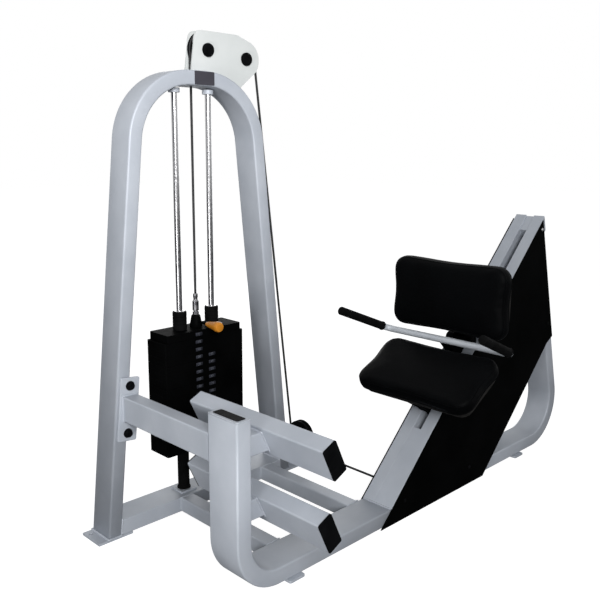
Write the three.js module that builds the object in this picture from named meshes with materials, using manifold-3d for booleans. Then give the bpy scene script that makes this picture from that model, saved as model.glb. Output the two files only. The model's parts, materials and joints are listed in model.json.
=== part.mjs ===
// Seated calf raise machine: a J-shaped floor beam with two fixed foot bars, a sloping rail on which
// a seat carriage slides, and a weight stack in an arched tower beside it.
// Millimetres. +X runs from the foot bars towards the seat, +Y towards the tower, +Z up.
// The origin is on the floor, at the middle of the front floor pad's underside.
import * as THREE from 'three';
import * as BufferGeometryUtils from 'three/addons/utils/BufferGeometryUtils.js';
import Module from 'manifold-3d';

const wasm = await Module();
wasm.setup();

// General fits
const gap = 0.3;
const overrun = 20;
const wall = 3;
const tubeCorner = 5;
const plateChamfer = 1;

// Round stretches, in segments
const bendSteps = 10;
const cornerSteps = 2;
const roundSides = 20;
const smallSides = 12;
const rodSides = 12;
const cableSides = 8;
const holeSides = 8;

// J-shaped beam: a front post, a bend and the floor run
const beamWidth = 120;
const beamThickness = 50;
const postFrontX = -210;
const postHeight = 515;
const beamBendRadius = 130;
const padHeight = 8;
const padLength = 60;
const padOverhang = 12;
const capThickness = 5;
const capInset = 4;

// Rail of two tubes with a slot between them
const railAngle = Math.PI / 4;
const railFootX = 375;
const railTubeWidth = 45;
const railDepth = 50;

// Rear leg, a narrower tube that leans forward to the top of the rail
const legWidth = 100;
const legThickness = 50;
const legLean = THREE.MathUtils.degToRad(16.4);
const legTopX = 1328;
const legTopZ = 950;
const legBendRadius = 150;
const legFootX = 910;
const rearPadFromCorner = 321.8;

// Side covers, thin black sheets on both sides of the rail
const coverThickness = 4;
const coverFloorGap = 5;
const coverWidthOnRail = 422;
const coverRearInset = 19;
const coverCornerZ = 461;
const coverNotchDrop = 22;

// Foot bars
const footBarLength = 532;
const footBarDepth = 100;
const footBarThickness = 50;
const footBarTilt = THREE.MathUtils.degToRad(25.5);
const upperBar = { reach: 89.5, drop: 73, stubDrop: 9 };
const lowerBar = { reach: 76, drop: 263, stubDrop: 1 };
const stubWidth = 80;
const stubHeight = 60;

// Tower
const towerX = 114;
const towerY = 532;
const towerDepth = 100;
const towerThickness = 45;
const towerHeight = 1433;
const towerFootHalf = 388;
const towerLeanSlope = 0.1033;
const towerBendRadius = 207.5;
const baseBarHeight = 50;
const footPlateOut = 34;
const footPlateIn = 40;
const footBoltHoleRadius = 6;
const footBoltEdge = 15;

// Link beam from the tower's left leg to the front post
const linkHeight = 80;
const linkThickness = 50;
const linkDrop = 95;
const flangeWidth = 65;
const flangeHeight = 200;
const flangeThickness = 8;
const flangeShift = 18;
const flangeDrop = 5;

// Cross tubes on the floor
const crossTubeWidth = 50;
const frontCrossX = 25;
const rearCrossFromRail = 6;

// Weight stack
const plateWidth = 322;
const plateDepth = 102;
const plateThickness = 25;
const plateGap = 0.4;
const plateCount = 15;
const platesPerNode = 3;
const plateCorner = 6;
const stackBottomZ = 210;
const headPlateWidth = 300;
const rodSpacing = 131;
const rodRadius = 9.5;
const rodPlay = 1.5;
const rodCollarRadius = 18;
const rodCollarHeight = 14;
const stemRadius = 12;
const stemPlay = 2;
const stemTipClearance = 12;
const stemBoss = { bottomRadius: 21, topRadius: 14, height: 40 };
const bumperRadius = 23;
const bumperHeight = 62;
const bumperEdge = 4;
const pedestalRadius = 19.5;
const pedestalBase = { length: 60, width: 60, height: 6 };
const pedestalPad = { radius: 26, height: 14 };
const pinRadius = 4.5;
const pinPlay = 0.5;
const pinDepthInBoss = 26;
const pinHeightOnBoss = 18;
const knob = { start: 58, length: 70, smallRadius: 7, wideRadius: 17, head: 17, edge: 5 };

// Cable and its end fitting
const cableRadius = 4;
const cableHoleClearance = 5;
const grooveShare = 0.35;
const lipShare = 0.75;
const fitting = { radius: 10.5, waistRadius: 7, eyeRadius: 8, endHeight: 16, neck: 4, length: 72 };

// Crown pulleys and their bracket
const crownPulley = { groove: 53, lip: 4, width: 22, bore: 7, rise: 67, apart: 158, drop: 15 };
const bracket = { thickness: 6, play: 1.5, foot: 11, shoulder: 1, shoulderRise: 82, flatStart: 31, flatEnd: 37,
  rise: 125, noseOver: 1, tail: 35 };
const noseStart = THREE.MathUtils.degToRad(68);
const noseEnd = THREE.MathUtils.degToRad(-63);
const axleCap = { radius: 21, height: 12, edge: 4 };

// Lower pulleys
const basePulley = { groove: 53, lip: 4, width: 24, bore: 7, beyondLeg: 58, rise: 119 };
const baseBracket = { plate: 5, play: 2, width: 66, floor: 6, hub: 18, shoulder: 22, inset: 5 };
const cheekStart = THREE.MathUtils.degToRad(30);
const cheekEnd = THREE.MathUtils.degToRad(198);
const railPulley = { groove: 26, lip: 4, width: 16, bore: 6 };
const railPulleyBracket = { plate: 5, margin: 12 };
const cableStraight = 35;
const stackCableEnd = 20;

// Seat carriage, in distances along the rail and outward from its front face
const carriageTravelStart = 470;
const web = { thickness: 12, length: 300, inside: 96 };
const backbone = { ahead: 30, length: 360, width: 40, bottom: 6, top: 26 };
const roller = { radius: 20, width: 30 };
const rollerInset = 30;
const axleRadius = 8;
const gusset = { inner: 14, thickness: 6 };
const stopRubber = { length: 19.4, depth: 36, inset: 7 };
const fillerTop = 375;
const anchorSize = 20;
const railTieLength = 70;
const railTieInset = 4;

// Pads and boards: a pad's rise is the clearance of its board over the backbone
const padThickness = 62;
const seatPad = { rise: 6.3, length: 255, width: 470, corner: 55, toHandle: 4.9 };
const backPad = { rise: 63.3, length: 260, width: 466, corner: 50, toHandle: 12 };
const seatTilt = THREE.MathUtils.degToRad(-15);
const backTilt = THREE.MathUtils.degToRad(45);
const backGussetShare = 0.6;
const cushionForm = { crown: 7, drawIn: 5, edge: 16, sideBulge: 3, cornerSteps: 6, sideSteps: 6,
  edgeSteps: 4, faceSteps: 6 };
const board = { thickness: 15, margin: 22 };

// Handle bar
const handle = { along: 211, out: 94, radius: 12, half: 255, bend: 24, steps: 5 };
const grip = { radius: 15, back: 232, side: 30, rise: 95, cover: 222 };
const saddle = { width: 24, foot: 20 };

// Finishes
const paint = { color: 0xc9cdd6, roughness: 0.35, metalness: 0.1 };
const palePaint = { color: 0xdfe3e0, roughness: 0.4, metalness: 0.05 };
const blackPaint = { color: 0x17181a, roughness: 0.45, metalness: 0.1 };
const blackPlastic = { color: 0x1b1b1d, roughness: 0.6, metalness: 0 };
const rubber = { color: 0x141414, roughness: 0.85, metalness: 0 };
const vinyl = { color: 0x121316, roughness: 0.5, metalness: 0 };
const chrome = { color: 0xd5d8dc, roughness: 0.12, metalness: 1 };
const cableSteel = { color: 0x4c4f52, roughness: 0.5, metalness: 0.6 };
const orange = { color: 0xe0952f, roughness: 0.4, metalness: 0 };
const ply = { color: 0x1d1c1b, roughness: 0.8, metalness: 0 };

// Derived places
const stackX = towerX;
const platePitch = plateThickness + plateGap;
const rodHoleRadius = rodRadius + rodPlay;
const stemHoleRadius = stemRadius + stemPlay;
const pinHoleRadius = pinRadius + pinPlay;
const cableHoleRadius = cableRadius + cableHoleClearance;
const postRearX = postFrontX + beamThickness;
const linkZ = postHeight - linkDrop;
const rearCrossX = railFootX + rearCrossFromRail;
const beamTopZ = padHeight + beamThickness;
const beamCentreZ = padHeight + beamThickness / 2;
const slotWidth = beamWidth - 2 * railTubeWidth;
const towerFrontY = towerY - towerDepth / 2;
const stackTopZ = stackBottomZ + plateCount * platePitch;
const headTopZ = stackTopZ + plateThickness;
const firstPulleyX = stackX + crownPulley.groove;
const firstPulleyZ = towerHeight + crownPulley.rise;
const secondPulleyX = firstPulleyX + crownPulley.apart;
const secondPulleyZ = firstPulleyZ - crownPulley.drop;
const bracketSpacing = crownPulley.width + 2 * bracket.play;
const basePulleyX = towerX + towerFootHalf + basePulley.beyondLeg;
const basePulleyY = towerY - basePulley.groove;
const basePulleyZ = padHeight + basePulley.rise;
const railSin = Math.sin(railAngle);
const railCos = Math.cos(railAngle);
const legSlope = Math.tan(legLean);
const rodXs = [stackX - rodSpacing / 2, stackX + rodSpacing / 2];

// The pads stand round the handle: the seat ends before it and the back pad starts over it
const backboneStart = carriageTravelStart - backbone.ahead;
const handleAlong = carriageTravelStart + handle.along;
const boardDepth = padThickness + board.thickness + 2 * gap;
const lowestBoardPoint = (tilt, along) => boardDepth * Math.cos(tilt) - along * Math.sin(tilt);
const seatFace = backbone.top + seatPad.rise + lowestBoardPoint(seatTilt, seatPad.length - board.margin);
const backFace = backbone.top + backPad.rise + lowestBoardPoint(backTilt, board.margin);
const seatReach = seatPad.length + seatPad.toHandle + handle.radius - (handle.out - seatFace) * Math.sin(seatTilt);
const backReach = backPad.toHandle + handle.radius - (backFace - handle.out) * Math.sin(backTilt);
const padPlaces = {
  seat: { pad: seatPad, tilt: seatTilt, start: handleAlong - seatReach / Math.cos(seatTilt), height: seatFace },
  back: { pad: backPad, tilt: backTilt, start: handleAlong + backReach / Math.cos(backTilt), height: backFace },
};

const group = new THREE.Group();
group.name = 'seated_calf_raise_machine';

// Closed mesh to solid and back
function toSolid(geometry) {
  const bare = geometry.index ? geometry.toNonIndexed() : geometry.clone();
  bare.deleteAttribute('normal');
  bare.deleteAttribute('uv');
  const merged = BufferGeometryUtils.mergeVertices(bare, 1e-4);
  return new wasm.Manifold(new wasm.Mesh({
    numProp: 3,
    vertProperties: new Float32Array(merged.attributes.position.array),
    triVerts: new Uint32Array(merged.index.array),
  }));
}

function toGeometry(solid) {
  const mesh = solid.getMesh();
  const geometry = new THREE.BufferGeometry();
  geometry.setAttribute('position', new THREE.BufferAttribute(new Float32Array(mesh.vertProperties), 3));
  geometry.setIndex(new THREE.BufferAttribute(new Uint32Array(mesh.triVerts), 1));
  geometry.computeVertexNormals();
  return geometry;
}

function cut(base, ...tools) {
  return toGeometry(tools.reduce((solid, tool) => solid.subtract(toSolid(tool)), toSolid(base)));
}

function join(...parts) {
  return toGeometry(parts.slice(1).reduce((solid, part) => solid.add(toSolid(part)), toSolid(parts[0])));
}

function add(name, geometry, finish, parent = group) {
  const mesh = new THREE.Mesh(geometry, new THREE.MeshStandardMaterial(finish));
  mesh.name = name;
  parent.add(mesh);
  return mesh;
}

// Block given by its two corners
function block(x0, x1, y0, y1, z0, z1) {
  const geometry = new THREE.BoxGeometry(x1 - x0, y1 - y0, z1 - z0);
  return geometry.translate((x0 + x1) / 2, (y0 + y1) / 2, (z0 + z1) / 2);
}

// Round bar between two ends on one axis
function roundBar(axis, radius, from, to, sides = roundSides) {
  const geometry = new THREE.CylinderGeometry(radius, radius, to - from, sides);
  geometry.translate(0, (from + to) / 2, 0);
  if (axis === 'x') geometry.rotateZ(-Math.PI / 2);
  if (axis === 'z') geometry.rotateX(Math.PI / 2);
  return geometry;
}

// Turned piece: profile points are [radius, distance], the axis is Y before turning
function turned(axis, points, sides = roundSides) {
  const geometry = new THREE.LatheGeometry(points.map(([r, d]) => new THREE.Vector2(r, d)), sides);
  if (axis === 'x') geometry.rotateZ(-Math.PI / 2);
  if (axis === 'z') geometry.rotateX(Math.PI / 2);
  return geometry;
}

// Flat outline in X and Z, extruded along Y and centred on middleY
function slab(outline, width, middleY, bevel = 0, steps = bendSteps) {
  const shape = outline instanceof THREE.Shape ? outline : new THREE.Shape(outline);
  const geometry = new THREE.ExtrudeGeometry(shape, {
    depth: width - 2 * bevel,
    bevelEnabled: bevel > 0,
    bevelThickness: bevel,
    bevelSize: bevel,
    bevelOffset: -bevel,
    bevelSegments: bevel > plateChamfer ? 2 : 1,
    curveSegments: steps,
  });
  geometry.rotateX(Math.PI / 2);
  return geometry.translate(0, middleY + width / 2 - bevel, 0);
}

function roundedRectangle(width, height, corner, target = new THREE.Shape()) {
  const x = width / 2;
  const y = height / 2;
  target.moveTo(-x + corner, -y);
  target.lineTo(x - corner, -y);
  target.absarc(x - corner, -y + corner, corner, -Math.PI / 2, 0);
  target.lineTo(x, y - corner);
  target.absarc(x - corner, y - corner, corner, 0, Math.PI / 2);
  target.lineTo(-x + corner, y);
  target.absarc(-x + corner, y - corner, corner, Math.PI / 2, Math.PI);
  target.lineTo(-x, -y + corner);
  target.absarc(-x + corner, -y + corner, corner, Math.PI, Math.PI * 1.5);
  return target;
}

// Straight hollow tube along Y: its section is width in X and height in Z
function tubeAlongY(width, height, y0, y1) {
  const shape = roundedRectangle(width, height, tubeCorner);
  const hole = roundedRectangle(width - 2 * wall, height - 2 * wall, tubeCorner - wall, new THREE.Path());
  shape.holes.push(hole);
  const geometry = new THREE.ExtrudeGeometry(shape, {
    depth: y1 - y0,
    bevelEnabled: false,
    curveSegments: cornerSteps,
  });
  geometry.rotateX(Math.PI / 2);
  return geometry.translate(0, y1, 0);
}

// Frames along a centre line with rounded bends: each has a point and a left-hand normal
function centreLine(points, radius) {
  const frames = [];
  const first = points[1].clone().sub(points[0]).normalize();
  frames.push({ p: points[0], n: new THREE.Vector2(-first.y, first.x) });
  for (let i = 1; i < points.length - 1; i += 1) {
    const before = points[i].clone().sub(points[i - 1]).normalize();
    const after = points[i + 1].clone().sub(points[i]).normalize();
    const turn = Math.atan2(before.cross(after), before.dot(after));
    const side = Math.sign(turn);
    const run = radius * Math.tan(Math.abs(turn) / 2);
    const start = points[i].clone().addScaledVector(before, -run);
    const normal = new THREE.Vector2(-before.y, before.x);
    const centre = start.clone().addScaledVector(normal, side * radius);
    for (let k = 0; k <= bendSteps; k += 1) {
      const n = normal.clone().rotateAround(new THREE.Vector2(), (turn * k) / bendSteps);
      frames.push({ p: centre.clone().addScaledVector(n, -side * radius), n });
    }
  }
  const end = points[points.length - 1];
  const last = end.clone().sub(points[points.length - 2]).normalize();
  frames.push({ p: end, n: new THREE.Vector2(-last.y, last.x) });
  return frames;
}

function stripOutline(frames, half) {
  const left = frames.map(({ p, n }) => p.clone().addScaledVector(n, half));
  const right = frames.map(({ p, n }) => p.clone().addScaledVector(n, -half)).reverse();
  return left.concat(right);
}

// Hollow tube bent in the X-Z plane
function bentTube(points, radius, thickness, width, middleY) {
  const outer = slab(stripOutline(centreLine(points, radius), thickness / 2), width, middleY, tubeCorner);
  const longer = points.map((p) => p.clone());
  const startWay = points[0].clone().sub(points[1]).normalize();
  const endWay = points[points.length - 1].clone().sub(points[points.length - 2]).normalize();
  longer[0].addScaledVector(startWay, overrun);
  longer[longer.length - 1].addScaledVector(endWay, overrun);
  const inner = slab(stripOutline(centreLine(longer, radius), thickness / 2 - wall), width - 2 * wall, middleY);
  return cut(outer, inner);
}

const at = (x, z) => new THREE.Vector2(x, z);

// Point on the rail's own plane: t along the rail from the floor, h outward from its front face
const onRail = (t, h) => at(railFootX + t * railCos - h * railSin, t * railSin + h * railCos);

// Part frame of the rail: X along it, Z outward from its front face
const railFrame = new THREE.Group();
railFrame.position.set(railFootX, 0, 0);
railFrame.rotation.y = -railAngle;
group.add(railFrame);

// Floor pad welded under a tube
function floorPad(x, tubeWidth) {
  const half = tubeWidth / 2 + padOverhang;
  const weldHalf = tubeWidth / 2 - tubeCorner;
  return join(block(x - padLength / 2, x + padLength / 2, -half, half, 0, padHeight - gap),
    block(x - padLength / 2, x + padLength / 2, -weldHalf, weldHalf, padHeight / 2, padHeight + wall / 2));
}

// Main beam: post, bend and floor run
function buildMainBeam() {
  const postX = postFrontX + beamThickness / 2;
  const path = [at(postX, postHeight), at(postX, beamCentreZ), at(legFootX, beamCentreZ)];
  const tube = bentTube(path, beamBendRadius, beamThickness, beamWidth, 0);
  add('main_beam', join(tube, floorPad(0, beamWidth)), paint);

  const innerWidth = beamThickness - 2 * wall - 2 * gap;
  const innerDepth = beamWidth - 2 * wall - 2 * gap;
  const lidHalf = at(beamThickness / 2 - plateChamfer, beamWidth / 2 - plateChamfer);
  const lid = block(postX - lidHalf.x, postX + lidHalf.x, -lidHalf.y, lidHalf.y,
    postHeight + gap, postHeight + gap + capThickness);
  const plug = block(postX - innerWidth / 2, postX + innerWidth / 2, -innerDepth / 2, innerDepth / 2,
    postHeight - overrun, postHeight + gap + capInset);
  add('post_cap', join(lid, plug), blackPlastic);
}

// Rear beam: floor run, bend and the leg that leans forward under the top of the rail
function buildRearLeg() {
  const half = legThickness / 2;
  const outerAtZero = legTopX + legTopZ * legSlope;
  const centreAt = (z) => at(outerAtZero - z * legSlope - half / Math.cos(legLean), z);
  const path = [at(legFootX + gap, beamCentreZ), centreAt(beamCentreZ), centreAt(legTopZ)];
  const tube = bentTube(path, legBendRadius, legThickness, legWidth, 0);
  const trim = slab([
    onRail(0, -railDepth - gap), onRail(2 * legTopZ, -railDepth - gap),
    onRail(2 * legTopZ, legTopZ), onRail(0, legTopZ),
  ], legWidth + 2 * overrun, 0);
  const rearPad = floorPad(path[1].x - rearPadFromCorner, legWidth);
  add('rear_leg', join(cut(tube, trim), rearPad), paint);
}

// Two rail tubes, the filler that closes the slot below the carriage, and the tie at the top
function railEnds(inset) {
  const footZ = (beamTopZ + gap) / railSin;
  const legAt = (h) => {
    const z = (legTopX + legTopZ * legSlope - railFootX + (h / railSin)) / (1 + legSlope);
    return (z / railSin) - h - inset;
  };
  return { foot: (h) => footZ - h, top: legAt };
}

function buildRail() {
  const ends = railEnds(0);
  const outline = [
    at(ends.foot(0), 0), at(ends.foot(-railDepth), -railDepth),
    at(ends.top(-railDepth), -railDepth), at(ends.top(0), 0),
  ];
  const innerOutline = [
    at(ends.foot(-wall) - overrun, -wall), at(ends.foot(-railDepth) - overrun, wall - railDepth),
    at(ends.top(-railDepth) + overrun, wall - railDepth), at(ends.top(0) + overrun, -wall),
  ];
  const middle = (slotWidth + railTubeWidth) / 2;
  const tubes = [-1, 1].map((side) => cut(slab(outline, railTubeWidth, side * middle, tubeCorner / 2),
    slab(innerOutline, railTubeWidth - 2 * wall, side * middle)));

  const fillHalf = slotWidth / 2 - gap;
  const fillWidth = fillHalf + slotWidth / 2 + wall / 2;
  const fillMiddle = fillWidth / 2 - fillHalf;
  const filler = slab([
    at(ends.foot(0), 0), at(ends.foot(-railDepth), -railDepth), at(fillerTop, -railDepth), at(fillerTop, 0),
  ], fillWidth, -fillMiddle);
  add('rail_near', join(tubes[0], filler), paint, railFrame);

  const tieTop = ends.top(-railTieInset);
  const tie = slab([
    at(tieTop - railTieLength, -railTieInset), at(tieTop - railTieLength, -railDepth),
    at(ends.top(-railDepth), -railDepth), at(tieTop, -railTieInset),
  ], fillWidth, fillMiddle);
  add('rail_far', join(tubes[1], tie), paint, railFrame);

  const stopTop = carriageTravelStart - gap;
  const rubberBlock = block(stopTop - stopRubber.length, stopTop, -fillHalf, fillHalf,
    -stopRubber.inset - stopRubber.depth, -stopRubber.inset);
  add('carriage_stop', rubberBlock, rubber, railFrame);
}

// Side covers follow the rail's front face and the rear leg
function coverOutline() {
  const rearAtZero = legTopX + legTopZ * legSlope - coverRearInset;
  const apexZ = (rearAtZero - railFootX) / (1 + legSlope);
  const across = coverWidthOnRail / railSin;
  const cornerX = rearAtZero - coverCornerZ * legSlope;
  const notchZ = coverCornerZ - coverNotchDrop;
  return [
    at(railFootX + coverFloorGap, coverFloorGap),
    at(railFootX + across + coverFloorGap, coverFloorGap),
    at(railFootX + across + notchZ, notchZ),
    at(cornerX, coverCornerZ),
    at(railFootX + apexZ, apexZ),
  ];
}

function buildCovers() {
  const outline = coverOutline();
  const middle = beamWidth / 2 + gap + coverThickness / 2;
  add('side_cover_near', slab(outline, coverThickness, -middle, plateChamfer), blackPaint);

  const far = slab(outline, coverThickness, middle, plateChamfer);
  const crossNotch = block(railFootX - overrun, rearCrossX + crossTubeWidth / 2 + gap,
    middle - coverThickness, middle + coverThickness, 0, beamTopZ + gap);
  const cableHole = roundBar('y', cableHoleRadius, middle - coverThickness, middle + coverThickness);
  cableHole.translate(basePulleyX, 0, basePulleyZ - basePulley.groove);
  add('side_cover_far', cut(far, crossNotch, cableHole), blackPaint);

}

// Foot bars, each welded to its stub, with their end caps
function buildFootBars() {
  const half = footBarLength / 2;
  for (const [name, bar] of [['upper_foot_bar', upperBar], ['lower_foot_bar', lowerBar]]) {
    const x = postRearX + bar.reach;
    const z = postHeight - bar.drop;
    const place = (geometry) => geometry.rotateY(-footBarTilt).translate(x, 0, z);
    const rest = place(tubeAlongY(footBarThickness, footBarDepth, -half, half));
    const core = roundedRectangle(footBarThickness - wall, footBarDepth - wall, tubeCorner);
    const stub = tubeAlongX(stubWidth, stubHeight, postRearX + gap, x).translate(0, 0, z - bar.stubDrop);
    const beyond = block(0, footBarDepth, -half, half, -footBarDepth, footBarDepth);
    add(name, join(rest, cut(stub, place(slab(core, footBarLength, 0, 0, cornerSteps)), place(beyond))), paint);

    const plugShape = roundedRectangle(footBarThickness - 2 * (wall + gap), footBarDepth - 2 * (wall + gap),
      tubeCorner - wall);
    for (const [sideName, side] of [['near', -1], ['far', 1]]) {
      const lid = slab(roundedRectangle(footBarThickness, footBarDepth, tubeCorner), capThickness,
        side * (half + gap + capThickness / 2), plateChamfer, cornerSteps);
      const plug = slab(plugShape, overrun + capInset, side * (half + (capInset - overrun) / 2),
        0, cornerSteps);
      add(name.replace('bar', `cap_${sideName}`), place(join(lid, plug)), blackPlastic);
    }
  }
}

// Hollow tube along X: its section is width in Y and height in Z
function tubeAlongX(width, height, x0, x1) {
  const tube = tubeAlongY(width, height, x0, x1);
  return tube.rotateZ(-Math.PI / 2);
}

// Tower: one bent tube, the base bar between its legs, and its foot plates
const towerOuterHalf = (z) => towerFootHalf - towerLeanSlope * z;

function towerPath(startZ) {
  const shift = (towerThickness / 2) * Math.sqrt(1 + towerLeanSlope ** 2);
  const crownZ = towerHeight - towerThickness / 2;
  const half = (z) => towerOuterHalf(z) - shift;
  return [
    at(towerX - half(startZ), startZ), at(towerX - half(crownZ), crownZ),
    at(towerX + half(crownZ), crownZ), at(towerX + half(startZ), startZ),
  ];
}

function buildTower() {
  const arch = bentTube(towerPath(padHeight - overrun), towerBendRadius, towerThickness, towerDepth, towerY);
  const below = block(towerX - 2 * towerFootHalf, towerX + 2 * towerFootHalf,
    towerY - towerDepth, towerY + towerDepth, -2 * overrun, padHeight);
  const cableHole = roundBar('z', cableHoleRadius, towerHeight - 2 * towerThickness, towerHeight + overrun);
  cableHole.translate(stackX, towerY, 0);
  add('tower_frame', cut(arch, below, cableHole), paint);

  const thicknessAcross = towerThickness * Math.sqrt(1 + towerLeanSlope ** 2);
  const innerHalf = (z) => towerOuterHalf(z) - thicknessAcross - gap;
  const barOutline = (inset, longer) => [padHeight + inset, padHeight + baseBarHeight - inset].flatMap((z, i) => (
    i === 0 ? [at(towerX - innerHalf(z) - longer, z), at(towerX + innerHalf(z) + longer, z)]
      : [at(towerX + innerHalf(z) + longer, z), at(towerX - innerHalf(z) - longer, z)]));
  const outer = slab(barOutline(0, 0), towerDepth, towerY, tubeCorner / 2);
  const inner = slab(barOutline(wall, overrun), towerDepth - 2 * wall, towerY);
  const barTop = padHeight + baseBarHeight;
  const rodFeet = rodXs.map((x) => block(x - pedestalBase.length / 2, x + pedestalBase.length / 2,
    towerY - pedestalBase.width / 2, towerY + pedestalBase.width / 2, barTop - wall / 2, barTop + pedestalBase.height));
  const feet = [-1, 1].map((side) => {
    const outEdge = side > 0 ? basePulleyX - towerX + footPlateOut : towerFootHalf + footPlateOut;
    const inEdge = innerHalf(padHeight) - footPlateIn;
    const plate = block(towerX + Math.min(side * outEdge, side * inEdge),
      towerX + Math.max(side * outEdge, side * inEdge),
      towerFrontY, towerY + towerDepth / 2, 0, padHeight - gap);
    const hole = roundBar('z', footBoltHoleRadius, -overrun, overrun, smallSides);
    hole.translate(towerX + side * (outEdge - footBoltEdge), towerY + towerDepth / 4, 0);
    const weld = block(towerX + Math.min(side * inEdge, side * (inEdge + footPlateIn - 2 * wall)),
      towerX + Math.max(side * inEdge, side * (inEdge + footPlateIn - 2 * wall)),
      towerFrontY + wall, towerY + towerDepth / 2 - wall, padHeight / 2, padHeight + wall / 2);
    return join(cut(plate, hole), weld);
  });
  add('tower_base_bar', join(cut(outer, inner), ...rodFeet, ...feet), paint);

}

// Link beam with its bolted flange on the tower's left leg
function buildLinkBeam() {
  const x = postFrontX + linkThickness / 2;
  const flangeY = towerFrontY - gap - flangeThickness;
  const beam = tubeAlongY(linkThickness, linkHeight, beamWidth / 2 + gap, flangeY + wall);
  beam.translate(x, 0, linkZ);

  const legMiddle = towerX - towerOuterHalf(linkZ) + towerThickness / 2 + flangeShift;
  const lean = Math.atan(towerLeanSlope);
  const plate = slab(roundedRectangle(flangeWidth, flangeHeight, tubeCorner), flangeThickness, 0, plateChamfer,
    cornerSteps);
  const flangeZ = linkZ - flangeDrop;
  plate.rotateY(lean).translate(legMiddle, flangeY + flangeThickness / 2, flangeZ);
  add('link_beam', join(beam, plate), paint);

}

function buildCrossTubes() {
  for (const [name, x] of [['cross_tube_front', frontCrossX], ['cross_tube_rear', rearCrossX]]) {
    const tube = tubeAlongY(crossTubeWidth, beamThickness, beamWidth / 2 + gap, towerFrontY - gap);
    add(name, tube.translate(x, 0, beamCentreZ), paint);
  }
}

// Weight stack
function weightPlate(width, bottom, thickness, centreHole) {
  const geometry = new THREE.ExtrudeGeometry(roundedRectangle(width, plateDepth, plateCorner), {
    depth: thickness - 2 * plateChamfer,
    bevelEnabled: true,
    bevelThickness: plateChamfer,
    bevelSize: plateChamfer,
    bevelOffset: -plateChamfer,
    bevelSegments: 1,
    curveSegments: cornerSteps,
  });
  geometry.translate(stackX, towerY, bottom + plateChamfer);
  const hole = (x, radius) => roundBar('z', radius, bottom - overrun, bottom + thickness + overrun, holeSides)
    .translate(x, towerY, 0);
  return cut(geometry, hole(stackX, centreHole), ...rodXs.map((x) => hole(x, rodHoleRadius)));
}

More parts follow.
